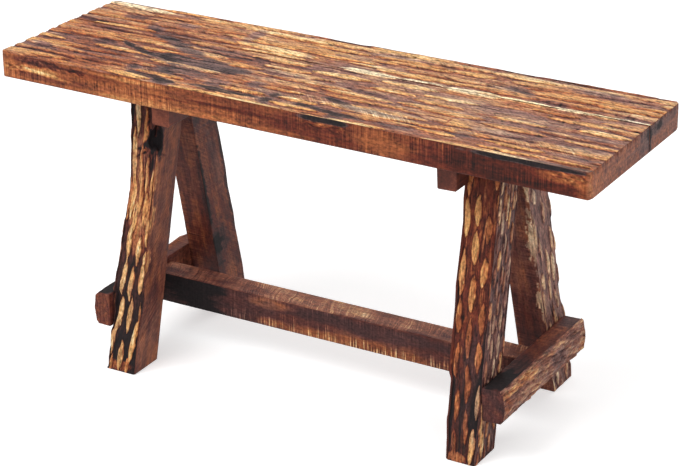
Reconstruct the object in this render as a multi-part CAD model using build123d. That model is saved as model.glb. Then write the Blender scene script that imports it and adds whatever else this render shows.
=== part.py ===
from build123d import *
from dataclasses import dataclass
import math
import os

# Rustic trestle bench: two hewn planks on two A-shaped trestles joined by a low stretcher.
# Millimetres, +X along the bench to the right, +Y to the back, +Z up.
# The origin is on the floor under the middle of the whole bench.

# ---------------------------------------------------------------- seat
seat_height = 457.0            # floor to the crowns of the hewn top
seat_thickness = 39.0
seat_length = 934.0            # over its longest point, the front left corner
left_end_skew = 12.0           # the left end is sawn this much out of square
back_edge = 139.5              # the straight back edge, behind the bench's middle
seam = 38.0                    # the joint between the planks, behind the bench's middle
seam_gap = 0.6                 # the joint has opened a little as the planks dried
front_edge_left = 131.5        # the front edge runs out of parallel with the back
front_edge_right = 146.0
corner_radius = 8.0            # outer corners seen from above
seat_arris = 2.0               # lower edges, taken off with a plane
ridge_width = 19.0             # pitch of the ridges that the adze left along the top
ridge_height = 2.6             # crown above the furrows beside it
ridge_drift = 0.2              # how unevenly the ridges are spaced, as a share of their pitch

# ---------------------------------------------------------------- trestles
leg_width = 49.0               # along X
leg_depth = 58.0               # square to the leg's own axis
foot_spread = 124.0            # middle of a foot from the middle of the bench
top_spread = 25.5              # the same under the seat, where the two legs are mitred together
bark_crown = 2.5               # the bark face is this much rounder than a sawn one
bark_corner = 3.0

cleat_thickness = 29.0
cleat_height = 47.0
cleat_back = 92.0              # end of the cleat behind the bench's middle
rail_arris = 1.5               # long edges of the cleats and the stretcher
crossbar_bulge = 3.0           # crown of a crossbar's bark side
crossbar_under = 4.0           # its waney lower outer corner

# ---------------------------------------------------------------- stretcher
stretcher_width = 42.0
stretcher_height = 46.5
stretcher_top = 104.0          # above the floor
stub_width = 18.0              # stub tenon at each end of the stretcher
stub_height = 28.0
mortise_wall = 8.0             # wood left outside the blind mortise

# ---------------------------------------------------------------- knot hollow, left front leg
knot_height = 345.0
knot_radius = 14.0
knot_stretch = 12.0            # it is this much longer along the grain than across it
knot_inset = 3.0               # its middle, in from the corner of the leg

# ---------------------------------------------------------------- fastenings
fit = 0.1                      # round dowels and screws in their holes
end_room = 1.0                 # beyond the blind end of a dowel or screw

dowel_radius = 5.0
dowel_length = 60.0
dowel_count = 5
dowel_end_distance = 80.0      # first and last dowel from the seat's ends

glue_gap = 0.15                # round a tenon
mortise_room = 1.5             # between a tenon's end and the mortise's floor
tenon_thickness = 12.0         # loose tenons between the legs and the rails that cross them
tenon_width = 28.0             # along the grain of the leg
tenon_in_rail = 16.0           # in a crossbar or a cleat
tenon_in_leg = 24.0

screw_radius = 2.5
screw_head_radius = 5.0
screw_head_height = 3.5
screw_sunk = 1.0               # the head lies this deep in the cleat
screw_in_seat = 24.0
screw_end_distance = 22.0      # outer seat screws from the ends of the cleat


@dataclass
class Trestle:
    """Values that differ from one end of the bench to the other."""
    name: str
    inward: int                # +1 if the middle of the bench lies towards +X, else -1
    centre: float              # x of the legs' middle on the floor
    lean: float                # degrees that it leans in over the stretcher
    crossbar_thickness: float
    crossbar_bottom: float
    crossbar_height: float
    crossbar_front: float      # ends, before and behind the bench's middle
    crossbar_back: float
    crossbar_chamfer: float    # waney upper outer corner
    cleat_front: float


left = Trestle("left", 1, -268.5, 0.8, 28.0, 61.5, 51.5, 140.0, 128.0, 5.0, 86.0)
right = Trestle("right", -1, 289.5, 1.7, 35.0, 59.0, 49.0, 131.0, 126.0, 10.0, 98.0)
front, back = -1, 1

# ---------------------------------------------------------------- worked out from the above
underside = seat_height - seat_thickness
seat_right = seat_length / 2
splay = math.atan2(foot_spread - top_spread, underside)
beyond = 4 * seat_length       # larger than the whole bench, for sawing off


def leg_middle(height):
    """Distance of a leg's middle from the middle of the bench, at a height above the floor."""
    return foot_spread - math.tan(splay) * height


def stand(shape, trestle):
    """Lean a piece made round the origin in over the stretcher and move it to its end of the bench."""
    return Pos(trestle.centre, 0, 0) * Rot(0, trestle.inward * trestle.lean, 0) * shape


def between_floor_and_seat(shape):
    """Saw a piece off level with the floor and with the underside of the seat."""
    return shape & Pos(0, 0, underside / 2) * Box(beyond, beyond, underside)


def rod(radius, start, end):
    """Round bar from one point to another."""
    axis = Vector(*end) - Vector(*start)
    return extrude(Plane(origin=start, z_dir=axis) * Circle(radius), axis.length)


def outer_face(trestle):
    """x of the legs' outer face, where the crossbar lies, in the trestle's own frame."""
    return -trestle.inward * leg_width / 2


def inner_face(trestle):
    """x of the legs' inner face, where the cleat lies, in the trestle's own frame."""
    return trestle.inward * leg_width / 2


# ---------------------------------------------------------------- seat
def left_end(y):
    """x of the seat's skew left end."""
    return -seat_right + left_end_skew * (y + front_edge_left) / (back_edge + front_edge_left)


def ridged_section(y_from, y_to):
    """End view of a plank: a flat underside, and a top of rounded ridges with furrows between them."""
    width = y_to - y_from
    count = max(2, round(width / ridge_width))
    furrows = [y_from + width * (i + ridge_drift * math.sin(2.4 * i)) / count for i in range(count)] + [y_to]
    low = seat_height - ridge_height
    crowns = [seat_height - ridge_height * 0.2 * (1 + math.sin(1.7 * i)) for i in range(count)]
    ridges = [ThreePointArc((a, low), ((a + b) / 2, crown), (b, low))
              for a, b, crown in zip(furrows, furrows[1:], crowns)]
    body = Polyline((y_to, low), (y_to, underside), (y_from, underside), (y_from, low))
    return make_face(ridges + body.edges())


def plank(outline, y_from, y_to, outer_side):
    """A plank with this outline from above and a ridged section along X."""
    face = make_face(Polyline(*outline, close=True))
    outer_corners = face.vertices().sort_by(Axis.Y, reverse=outer_side == back)[:2]
    sawn = extrude(Pos(0, 0, underside) * fillet(outer_corners, corner_radius), seat_thickness)
    sawn = chamfer(sawn.faces().sort_by(Axis.Z)[0].edges(), seat_arris)
    end_view = Plane(origin=(-seat_length, 0, 0), x_dir=(0, 1, 0), z_dir=(1, 0, 0))
    past_edge = outer_side * ridge_width / 2     # so that the outer edge falls on a crown
    ends = (y_from + past_edge, y_to) if outer_side == front else (y_from, y_to + past_edge)
    return sawn & extrude(end_view * ridged_section(*ends), 2 * seat_length)


def seat_front_plank():
    edge = seam - seam_gap / 2
    outline = [(left_end(-front_edge_left), -front_edge_left), (seat_right, -front_edge_right),
               (seat_right, edge), (left_end(edge), edge)]
    return plank(outline, -max(front_edge_left, front_edge_right), edge, front)


def seat_back_plank():
    edge = seam + seam_gap / 2
    outline = [(left_end(edge), edge), (seat_right, edge), (seat_right, back_edge),
               (left_end(back_edge), back_edge)]
    return plank(outline, edge, back_edge, back)


# ---------------------------------------------------------------- legs, cleats and crossbars
def leg(trestle, side):
    """Splayed leg with three sawn faces and a round bark face outwards, mitred against its partner."""
    half = leg_width / 2
    sawn = -side * leg_depth / 2
    bark = side * leg_depth / 2
    shoulder = bark - side * bark_crown
    section = make_face([ThreePointArc((-half, shoulder), (0, bark), (half, shoulder)),
                         *Polyline((half, shoulder), (half, sawn), (-half, sawn), (-half, shoulder)).edges()])
    bark_corners = section.vertices().sort_by(Axis.Y, reverse=side == back)[:2]
    section = fillet(bark_corners, bark_corner)
    foot = Vector(0, side * foot_spread, 0)
    up = Vector(0, side * top_spread, underside) - foot
    spare = leg_depth              # sawn off again at the floor and the seat
    start = Plane(origin=foot - up.normalized() * spare, x_dir=(1, 0, 0), z_dir=up)
    blank = extrude(start * section, up.length + 2 * spare)
    own_half = Pos(0, side * beyond / 2, 0) * Box(beyond, beyond, beyond)
    return between_floor_and_seat(stand(blank & own_half, trestle))


def knot_hollow(trestle):
    """Hollow left by a rotten knot on the front inner corner of a leg, longer along the grain."""
    y = -leg_middle(knot_height) - leg_depth / 2 / math.cos(splay) + knot_inset
    x = inner_face(trestle) - trestle.inward * knot_inset
    end = Pos(0, 0, knot_stretch / 2) * Sphere(knot_radius)
    hollow = Cylinder(knot_radius, knot_stretch) + end + mirror(end, Plane.XY)
    return stand(Pos(x, y, knot_height) * Rot(-math.degrees(splay), 0, 0) * hollow, trestle)


def cleat(trestle):
    """Short beam under the seat, against the inner faces of both legs."""
    length = trestle.cleat_front + cleat_back
    height = cleat_height + cleat_thickness      # the top is sawn off level with the seat
    x = inner_face(trestle) + trestle.inward * cleat_thickness / 2
    blank = Pos(x, cleat_back - length / 2, underside - cleat_height + height / 2) \
        * Box(cleat_thickness, length, height)
    blank = chamfer(blank.edges().filter_by(Axis.Y).group_by(Axis.Z)[0], rail_arris)
    return between_floor_and_seat(stand(blank, trestle))


def crossbar(trestle):
    """Low rail across the outer faces of both legs: sawn against the legs, bark outside."""
    out = -trestle.inward
    face, crown = outer_face(trestle), outer_face(trestle) + out * trestle.crossbar_thickness
    edge = crown - out * crossbar_bulge
    low, high = trestle.crossbar_bottom, trestle.crossbar_bottom + trestle.crossbar_height
    upper = high - trestle.crossbar_chamfer
    lower = low + crossbar_under
    section = make_face([
        *Polyline((edge, lower), (edge - out * crossbar_under, low), (face, low), (face, high),
                  (edge - out * trestle.crossbar_chamfer, high), (edge, upper)).edges(),
        ThreePointArc((edge, upper), (crown, (upper + lower) / 2), (edge, lower))])
    front_end = Plane(origin=(0, -trestle.crossbar_front, 0), x_dir=(1, 0, 0), z_dir=(0, -1, 0))
    length = trestle.crossbar_front + trestle.crossbar_back
    return stand(extrude(front_end * section, -length), trestle)


# ---------------------------------------------------------------- stretcher
def stub_tenon(trestle, spare=0.0, end=0.0):
    """Stub tenon of the stretcher; with some spare all round and room at its end, the mortise for it."""
    out = -trestle.inward
    length = trestle.crossbar_thickness - mortise_wall - mortise_room + end
    root = stub_width                    # the tenon grows out of the body of the stretcher
    x = outer_face(trestle) + out * (length - root) / 2
    block = Box(length + root, stub_width + 2 * spare, stub_height + 2 * spare)
    return stand(Pos(x, 0, stretcher_top - stretcher_height / 2) * block, trestle)


def beyond_shoulder(trestle):
    """Everything outside the plane where the stretcher's shoulder meets the crossbar."""
    x = outer_face(trestle) - trestle.inward * beyond / 2
    return stand(Pos(x, 0, 0) * Box(beyond, beyond, beyond), trestle)


def stretcher():
    """Long rail between the crossbars, passing between the legs."""
    blank = Pos(0, 0, stretcher_top - stretcher_height / 2) \
        * Box(2 * seat_length, stretcher_width, stretcher_height)
    blank = chamfer(blank.edges().filter_by(Axis.X), rail_arris)
    body = blank - beyond_shoulder(left) - beyond_shoulder(right)
    return body + stub_tenon(left) + stub_tenon(right)


# ---------------------------------------------------------------- fastenings
# Each function makes the fastenings themselves, or, with spare, the holes that they go in.
def seam_dowels(spare=0.0, end=0.0):
    """Blind dowels across the joint between the planks."""
    pitch = (seat_length - 2 * dowel_end_distance) / (dowel_count - 1)
    z = seat_height - ridge_height - (seat_thickness - ridge_height) / 2
    reach = dowel_length / 2 + end
    places = [-seat_right + dowel_end_distance + i * pitch for i in range(dowel_count)]
    return [rod(dowel_radius + spare, (x, seam - reach, z), (x, seam + reach, z)) for x in places]


def loose_tenons(trestle, out, height, spare=0.0, end=0.0):
    """Blind tenon from each leg into the rail that crosses it at this height.

    The rail is the crossbar on the outer side of the legs, or the cleat on their inner side.
    """
    x = out * (leg_width + tenon_in_rail - tenon_in_leg) / 2
    block = Box(tenon_in_rail + tenon_in_leg + 2 * end, tenon_thickness + 2 * spare, tenon_width + 2 * spare)
    return [stand(Pos(x, side * leg_middle(height), height) * Rot(side * math.degrees(splay), 0, 0) * block,
                  trestle) for side in (front, back)]


def crossbar_tenons(trestle, spare=0.0, end=0.0):
    """Loose tenons between the legs and the crossbar."""
    middle = trestle.crossbar_bottom + trestle.crossbar_height / 2
    return loose_tenons(trestle, -trestle.inward, middle, spare, end)


def cleat_tenons(trestle, spare=0.0, end=0.0):
    """Loose tenons between the legs and the cleat."""
    return loose_tenons(trestle, trestle.inward, underside - cleat_height / 2, spare, end)


def cleat_screws(trestle, spare=0.0, end=0.0, sunk=0.0):
    """Upright screws through the cleat: two into the front plank and one into the back plank."""
    middle = underside - cleat_height / 2
    lean = math.radians(trestle.lean)
    x = (trestle.centre + (inner_face(trestle) + trestle.inward * cleat_thickness / 2) * math.cos(lean)
         + trestle.inward * middle * math.sin(lean))
    head = underside - cleat_height + screw_sunk
    screws = []
    for y in (screw_end_distance - trestle.cleat_front, 0, cleat_back - screw_end_distance):
        shank = rod(screw_radius + spare, (x, y, head), (x, y, underside + screw_in_seat + end))
        taper = Pos(x, y, head + screw_head_height / 2) \
            * Cone(screw_head_radius + spare, screw_radius + spare, screw_head_height)
        screw = shank + taper
        if sunk:
            screw += rod(screw_head_radius + spare, (x, y, head - sunk), (x, y, head))
        screws.append(screw)
    return screws


# ---------------------------------------------------------------- the bench
def bench():
    """Every piece of the bench by name, drilled and mortised for the pieces that join it."""
    dowel_holes = seam_dowels(fit, end_room)
    front_plank = seat_front_plank() - dowel_holes
    back_plank = seat_back_plank() - dowel_holes
    pieces = {"seam_dowels": Compound(children=seam_dowels()), "stretcher": stretcher()}
    for trestle in (left, right):
        name = trestle.name
        low_mortises = crossbar_tenons(trestle, glue_gap, mortise_room)
        high_mortises = cleat_tenons(trestle, glue_gap, mortise_room)
        screw_holes = cleat_screws(trestle, fit, end_room, cleat_height)
        front_plank -= screw_holes[:2]
        back_plank -= screw_holes[2:]
        stub_mortise = stub_tenon(trestle, glue_gap, mortise_room)
        pieces[f"{name}_front_leg"] = leg(trestle, front) - [low_mortises[0], high_mortises[0]]
        pieces[f"{name}_back_leg"] = leg(trestle, back) - [low_mortises[1], high_mortises[1]]
        pieces[f"{name}_cleat"] = cleat(trestle) - high_mortises - screw_holes
        pieces[f"{name}_crossbar"] = crossbar(trestle) - low_mortises - stub_mortise
        pieces[f"{name}_crossbar_tenons"] = Compound(children=crossbar_tenons(trestle))
        pieces[f"{name}_cleat_tenons"] = Compound(children=cleat_tenons(trestle))
        pieces[f"{name}_seat_screws"] = Compound(children=cleat_screws(trestle))
    pieces["left_front_leg"] -= knot_hollow(left)
    pieces["seat_front_plank"] = front_plank
    pieces["seat_back_plank"] = back_plank
    return pieces


os.makedirs("parts", exist_ok=True)
for node, piece in bench().items():
    export_step(piece, f"parts/{node}.step")
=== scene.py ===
import logging
import math
from collections.abc import Callable
from dataclasses import astuple, dataclass, replace
from enum import Enum
from typing import Any

import bpy
import numpy as np
from mathutils import Matrix


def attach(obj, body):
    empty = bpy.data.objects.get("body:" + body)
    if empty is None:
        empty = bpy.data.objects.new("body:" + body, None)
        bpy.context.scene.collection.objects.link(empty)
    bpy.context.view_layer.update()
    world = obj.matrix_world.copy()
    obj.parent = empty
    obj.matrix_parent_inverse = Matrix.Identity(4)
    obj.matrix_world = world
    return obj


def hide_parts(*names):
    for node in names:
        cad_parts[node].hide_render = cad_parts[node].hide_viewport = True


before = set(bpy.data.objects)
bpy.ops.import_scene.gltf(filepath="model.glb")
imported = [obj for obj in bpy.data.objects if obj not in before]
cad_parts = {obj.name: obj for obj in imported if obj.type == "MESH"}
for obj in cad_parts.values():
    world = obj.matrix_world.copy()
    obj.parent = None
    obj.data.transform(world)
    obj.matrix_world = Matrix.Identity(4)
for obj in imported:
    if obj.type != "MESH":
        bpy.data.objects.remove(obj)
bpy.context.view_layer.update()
log = logging.getLogger("bench")
logging.basicConfig(level=logging.INFO, format="%(name)s: %(message)s")

Array = np.ndarray
Pair = tuple[float, float]
Triple = tuple[float, float, float]
MM = 0.001                      # all sizes below are in millimetres; meshes are in metres

# Sizes of the frame that the timbers are worked out from.
SEAT_TOP = 457.0
UNDERSIDE = 418.0
SEAT_RIGHT = 467.0
LEFT_SKEW = 12.0
FRONT_LEFT, FRONT_RIGHT, BACK_EDGE = -131.5, -146.0, 139.5
SEAM, SEAM_GAP = 38.0, 0.6
PLAN_CORNER = 8.0                # radius of the outer corners, seen from above
FOOT_SPREAD, TOP_SPREAD = 124.0, 25.5
LEG_WIDTH, LEG_DEPTH = 49.0, 58.0
SPLAY = math.atan2(FOOT_SPREAD - TOP_SPREAD, UNDERSIDE)

# Where the carving is laid out.
CARVED_X, CARVED_Y = (-480.0, 480.0), (-150.0, 150.0)       # islands of the seat, a little past its edges
SEAT_X, SEAT_Y = (-467.0, 467.0), (-146.0, 140.0)           # splits and splinters of the seat
BARK_Z, BARK_ACROSS = (0.0, UNDERSIDE), (-30.0, 30.0)       # splits and splinters of a leg
RAIL_MIDDLE = 85.0                                          # height of the low rails' middle line
MITRE_LOW, MITRE_HIGH = 375.0, 395.0                        # the inner faces' relief fades out in between
MITRE_GAP = 0.15                                            # that a leg keeps from the bench's middle line


# ------------------------------------------------------------------ numbers that vary smoothly
def ease(x: Array, low: float, high: float) -> Array:
    """Rises from 0 at low to 1 at high along 3t^2 - 2t^3; falls if high is below low."""
    t = np.clip((x - low) / (high - low), 0.0, 1.0)
    return t * t * (3.0 - 2.0 * t)


def mix(first: Array | float, second: Array | float, share: Array) -> Array:
    """First where the share is 0, second where it is 1."""
    return first + (second - first) * share


class Unevenness:
    """A smooth random field of two numbers, the same in every run."""

    def __init__(self, seed: int) -> None:
        """Draws the field's random knots.

        Args:
            seed: Names the field.
        """
        self.knots = np.random.default_rng(seed).random((256, 256))

    def at(self, u: Array, v: Array | float) -> Array:
        """Field from 0 to 1: the knots round a point, blended with eased weights.

        Args:
            u: First number, one knot per unit.
            v: Second number.

        Returns:
            The field's value at each point.
        """
        iu, iv = np.floor(u).astype(int), np.floor(v).astype(int)
        su, sv = ease(u - iu, 0, 1), ease(v - iv, 0, 1)
        k = self.knots
        near = k[iu & 255, iv & 255] * (1 - su) + k[(iu + 1) & 255, iv & 255] * su
        far = k[iu & 255, (iv + 1) & 255] * (1 - su) + k[(iu + 1) & 255, (iv + 1) & 255] * su
        return near * (1 - sv) + far * sv

    def layered(self, u: Array, v: Array | float, layers: int = 3) -> Array:
        """Sum of fields, each twice as fine and half as strong as the one before, scaled to 0 to 1."""
        total, weight = np.zeros(np.broadcast(u, v).shape), 0.0
        for i in range(layers):
            total = total + self.at(u * 2 ** i + 17.3 * i, v * 2 ** i + 9.1 * i) * 0.5 ** i
            weight += 0.5 ** i
        return total / weight

    def swing(self, u: Array, v: Array | float, layers: int = 3) -> Array:
        """The layered field, from -1 to 1 round 0."""
        return 2.0 * self.layered(u, v, layers) - 1.0


# ------------------------------------------------------------------ gouge cuts and patches
@dataclass(frozen=True)
class Cut:
    """One lens-shaped island left between gouge strokes, in the face's own plane."""
    along: float
    across: float
    half_length: float
    half_width: float
    light: float                # 0 dark to 1 pale wood
    warm: float                 # 0 grey to 1 orange
    slant: float = 0.0          # across per along


@dataclass(frozen=True)
class Patch:
    """A soft-edged oval patch that shifts the finish of a face."""
    along: float
    across: float
    half_length: float
    half_width: float
    light: float = 0.0          # added to the lightness
    warm: float = 0.0           # added to the warmth
    char: float = 0.0           # added to the burning
    slant: float = 0.0          # across per along


def cuts_at(*rows: tuple[float, ...]) -> tuple[Cut, ...]:
    """Cuts from their numbers, in the order of Cut."""
    return tuple(Cut(*row) for row in rows)


def patches_at(*rows: tuple[float, ...]) -> tuple[Patch, ...]:
    """Patches from their numbers, in the order of Patch."""
    return tuple(Patch(*row) for row in rows)


def as_rows(by_hand: tuple[Cut, ...]) -> Array:
    """One row of numbers per cut."""
    return np.array([astuple(cut) for cut in by_hand])


@dataclass
class Islands:
    """Result of laying many cuts on a face."""
    crest: Array                # 0 in the grooves to 1 on the crown of an island
    light: Array
    warm: Array


def brick_cuts(seed: int, along: Pair, across: Pair, *, pitch: Pair, size: Pair, light: Pair, warm: Pair,
               jitter: float, by_hand: tuple[Cut, ...] = ()) -> Array:
    """Cuts laid like bricks: every other row is shifted by half a pitch, and each cut moves a little.

    Args:
        seed: Names the layout.
        along: First and last place along the grain.
        across: First and last place across the grain.
        pitch: Distance between cuts in a row, and between rows.
        size: Half-length and half-width of a cut.
        light: Lowest and highest lightness.
        warm: Lowest and highest warmth.
        jitter: Movement as a share of the pitch.
        by_hand: Cuts with a place of their own, which push the others out.

    Returns:
        One row per cut, in the order of Cut.
    """
    rng = np.random.default_rng(seed)
    rows = np.arange(math.floor(across[0] / pitch[1]), math.ceil(across[1] / pitch[1]) + 1)
    places = np.arange(math.floor(along[0] / pitch[0]) - 1, math.ceil(along[1] / pitch[0]) + 2)
    r, p = (g.ravel() for g in np.meshgrid(rows, places, indexing="ij"))
    n = r.size
    a = (p + 0.5 * (r % 2) + jitter * rng.uniform(-1, 1, n)) * pitch[0]
    c = (r + jitter * rng.uniform(-1, 1, n)) * pitch[1]
    length = size[0] * rng.uniform(0.78, 1.18, n)
    width = size[1] * rng.uniform(0.72, 1.2, n)
    table = np.stack([a, c, length, width, rng.uniform(*light, n), rng.uniform(*warm, n),
                      rng.uniform(-0.03, 0.03, n)], 1)
    if by_hand:
        own = as_rows(by_hand)
        gap = (((table[:, None, 0] - own[None, :, 0]) / (table[:, None, 2] + own[None, :, 2])) ** 2
               + ((table[:, None, 1] - own[None, :, 1]) / (table[:, None, 3] + own[None, :, 3])) ** 2)
        table = np.concatenate([table[(gap > 0.55).all(1)], own])
    return table


def lay(cuts: Array, along: Array, across: Array, soft: float = 0.6, point: float = 0.8) -> Islands:
    """Lays cuts on a face and keeps the highest at each point.

    At a share u of its half-length a cut's half-width is (1 - u^2)^point of the full one, so it narrows
    towards both ends. Its height eases from 0 at that outline to 1 at the share soft further in.

    Args:
        cuts: One row per cut.
        along: Place along the grain.
        across: Place across the grain.
        soft: Width of the slope, as a share of the half-width.
        point: How pointed the ends are.

    Returns:
        Height, lightness and warmth at each point.
    """
    crest = np.zeros(along.shape)
    light, warm = np.zeros(along.shape), np.zeros(along.shape)
    for a, c, length, width, shade, heat, slant in cuts:
        u = (along - a) / length
        near = np.nonzero(np.abs(u) < 1)
        if not near[0].size:
            continue
        un = u[near]
        v = np.abs(across[near] - c - slant * (along[near] - a)) / width
        height = ease((1 - un * un) ** point - v, 0.0, soft)
        top = height > crest[near]
        spot = tuple(i[top] for i in near)
        crest[spot] = height[top]
        light[spot] = shade
        warm[spot] = heat
    return Islands(crest, light, warm)


def strokes(seed: int, count: int, along: Pair, across: Pair, half_length: Pair, half_width: Pair,
            light: Pair, slant: float = 0.04) -> Array:
    """Thin strokes thrown on a face at random, such as splits and lifted splinters.

    Args:
        seed: Names the layout.
        count: How many.
        along: Range along the grain.
        across: Range across the grain.
        half_length: Shortest and longest half-length.
        half_width: Thinnest and widest half-width.
        light: Range of what they add to the lightness.
        slant: Largest slope from the grain.

    Returns:
        One row per stroke, in the order of Cut.
    """
    rng = np.random.default_rng(seed)
    long = half_length[0] + (half_length[1] - half_length[0]) * rng.random(count) ** 2
    return np.stack([rng.uniform(*along, count), rng.uniform(*across, count), long,
                     rng.uniform(*half_width, count), rng.uniform(*light, count), np.zeros(count),
                     rng.uniform(-slant, slant, count)], 1)


def scratch(table: Array, along: Array, across: Array) -> Array:
    """Sum of strokes: each adds its lightness times 1 - u^2 - v^2 within its own oval."""
    total = np.zeros(along.shape)
    for a, c, length, width, shade, _, slant in table:
        wide = width + abs(slant) * length
        near = np.nonzero((np.abs(along - a) < length) & (np.abs(across - c) < wide))
        if near[0].size:
            du, dv = along[near] - a, across[near] - c
            total[near] += shade * np.clip(1 - (du / length) ** 2 - ((dv - slant * du) / width) ** 2, 0, 1)
    return total


def spread(patches: tuple[Patch, ...], along: Array, across: Array,
           ragged: Array) -> tuple[Array, Array, Array]:
    """Adds up patches: each falls from full in its middle to nothing at its oval edge.

    Args:
        patches: The patches.
        along: Place along the grain.
        across: Place across the grain.
        ragged: Field round 0 that moves the edges in and out.

    Returns:
        What to add to lightness, warmth and burning.
    """
    light, warm, char = (np.zeros(along.shape) for _ in range(3))
    for p in patches:
        aside = across - p.across - p.slant * (along - p.along)
        reach = np.hypot((along - p.along) / p.half_length, aside / p.half_width) + 0.55 * ragged
        weight = ease(reach, 1.15, 0.45)
        light += p.light * weight
        warm += p.warm * weight
        char += p.char * weight
    return light, warm, char


# ------------------------------------------------------------------ sections and timbers
@dataclass
class Section:
    """Outline of a timber seen on its end, point by point, with the outward direction at each."""
    across: Array
    depth: Array
    out_across: Array
    out_depth: Array

    @property
    def girth(self) -> Array:
        """Distance round the outline from its first point, with the whole round as the last number."""
        steps = np.hypot(*(np.diff(v, append=v[0]) for v in (self.across, self.depth)))
        return np.concatenate([[0.0], np.cumsum(steps)])


def rounded_section(corners: list[Pair], radii: list[float], steps: list[float]) -> Section:
    """A polygon with rounded corners: straight runs joined by arcs that touch both.

    Args:
        corners: Corners in order, anticlockwise, as (across, depth).
        radii: Radius of each corner.
        steps: Distance between points on the side that starts at each corner.

    Returns:
        The sampled outline.
    """
    c = np.array(corners, float)
    n = len(c)
    go = np.roll(c, -1, 0) - c
    span = np.hypot(*go.T)
    go /= span[:, None]
    turn = [math.atan2(go[i - 1][0] * go[i][1] - go[i - 1][1] * go[i][0], float(go[i - 1] @ go[i]))
            for i in range(n)]
    trim = [radii[i] * math.tan(abs(turn[i]) / 2) for i in range(n)]
    points, outs = [], []
    for i in range(n):
        normal = np.array([go[i - 1][1], -go[i - 1][0]])
        start = math.atan2(normal[1], normal[0])
        angles = start + np.linspace(0, turn[i], 5)
        middle = c[i] - go[i - 1] * trim[i] - normal * radii[i]
        arc = np.stack([np.cos(angles), np.sin(angles)], 1)
        points.append(middle + radii[i] * arc)
        outs.append(arc)
        j = (i + 1) % n
        run = span[i] - trim[i] - trim[j]
        count = max(2, round(run / steps[i]))
        s = np.linspace(0, run, count + 1)[1:-1, None]
        points.append(c[i] + go[i] * (trim[i] + s))
        outs.append(np.repeat([[go[i][1], -go[i][0]]], len(s), 0))
    p, o = np.concatenate(points), np.concatenate(outs)
    return Section(p[:, 0], p[:, 1], o[:, 0], o[:, 1])


@dataclass
class Spots:
    """Every grid point of a timber before it is carved."""
    place: Array                # x, y, z
    along: Array                # from the first end
    across: Array
    depth: Array
    out_across: Array           # outward direction, without the part along the timber
    out_depth: Array
    cap: Array                  # 0 on the sides to 1 on the ends


@dataclass
class Skin:
    """What carving and finishing give at each grid point."""
    lift: Array                 # outward, in millimetres
    light: Array
    warm: Array
    char: Array
    hewn: Array                 # 1 where the surface is gouged or bark, 0 where it is sawn
    crest: Array | float = 0.0      # height of the islands, 0 to 1
    isle_light: Array | float = 0.0
    isle_warm: Array | float = 0.0
    streak: Array | float = 0.0     # strength of pale saw streaks
    shear: Array | float = 0.0      # moves the grain along, so that saw marks lie askew


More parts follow.
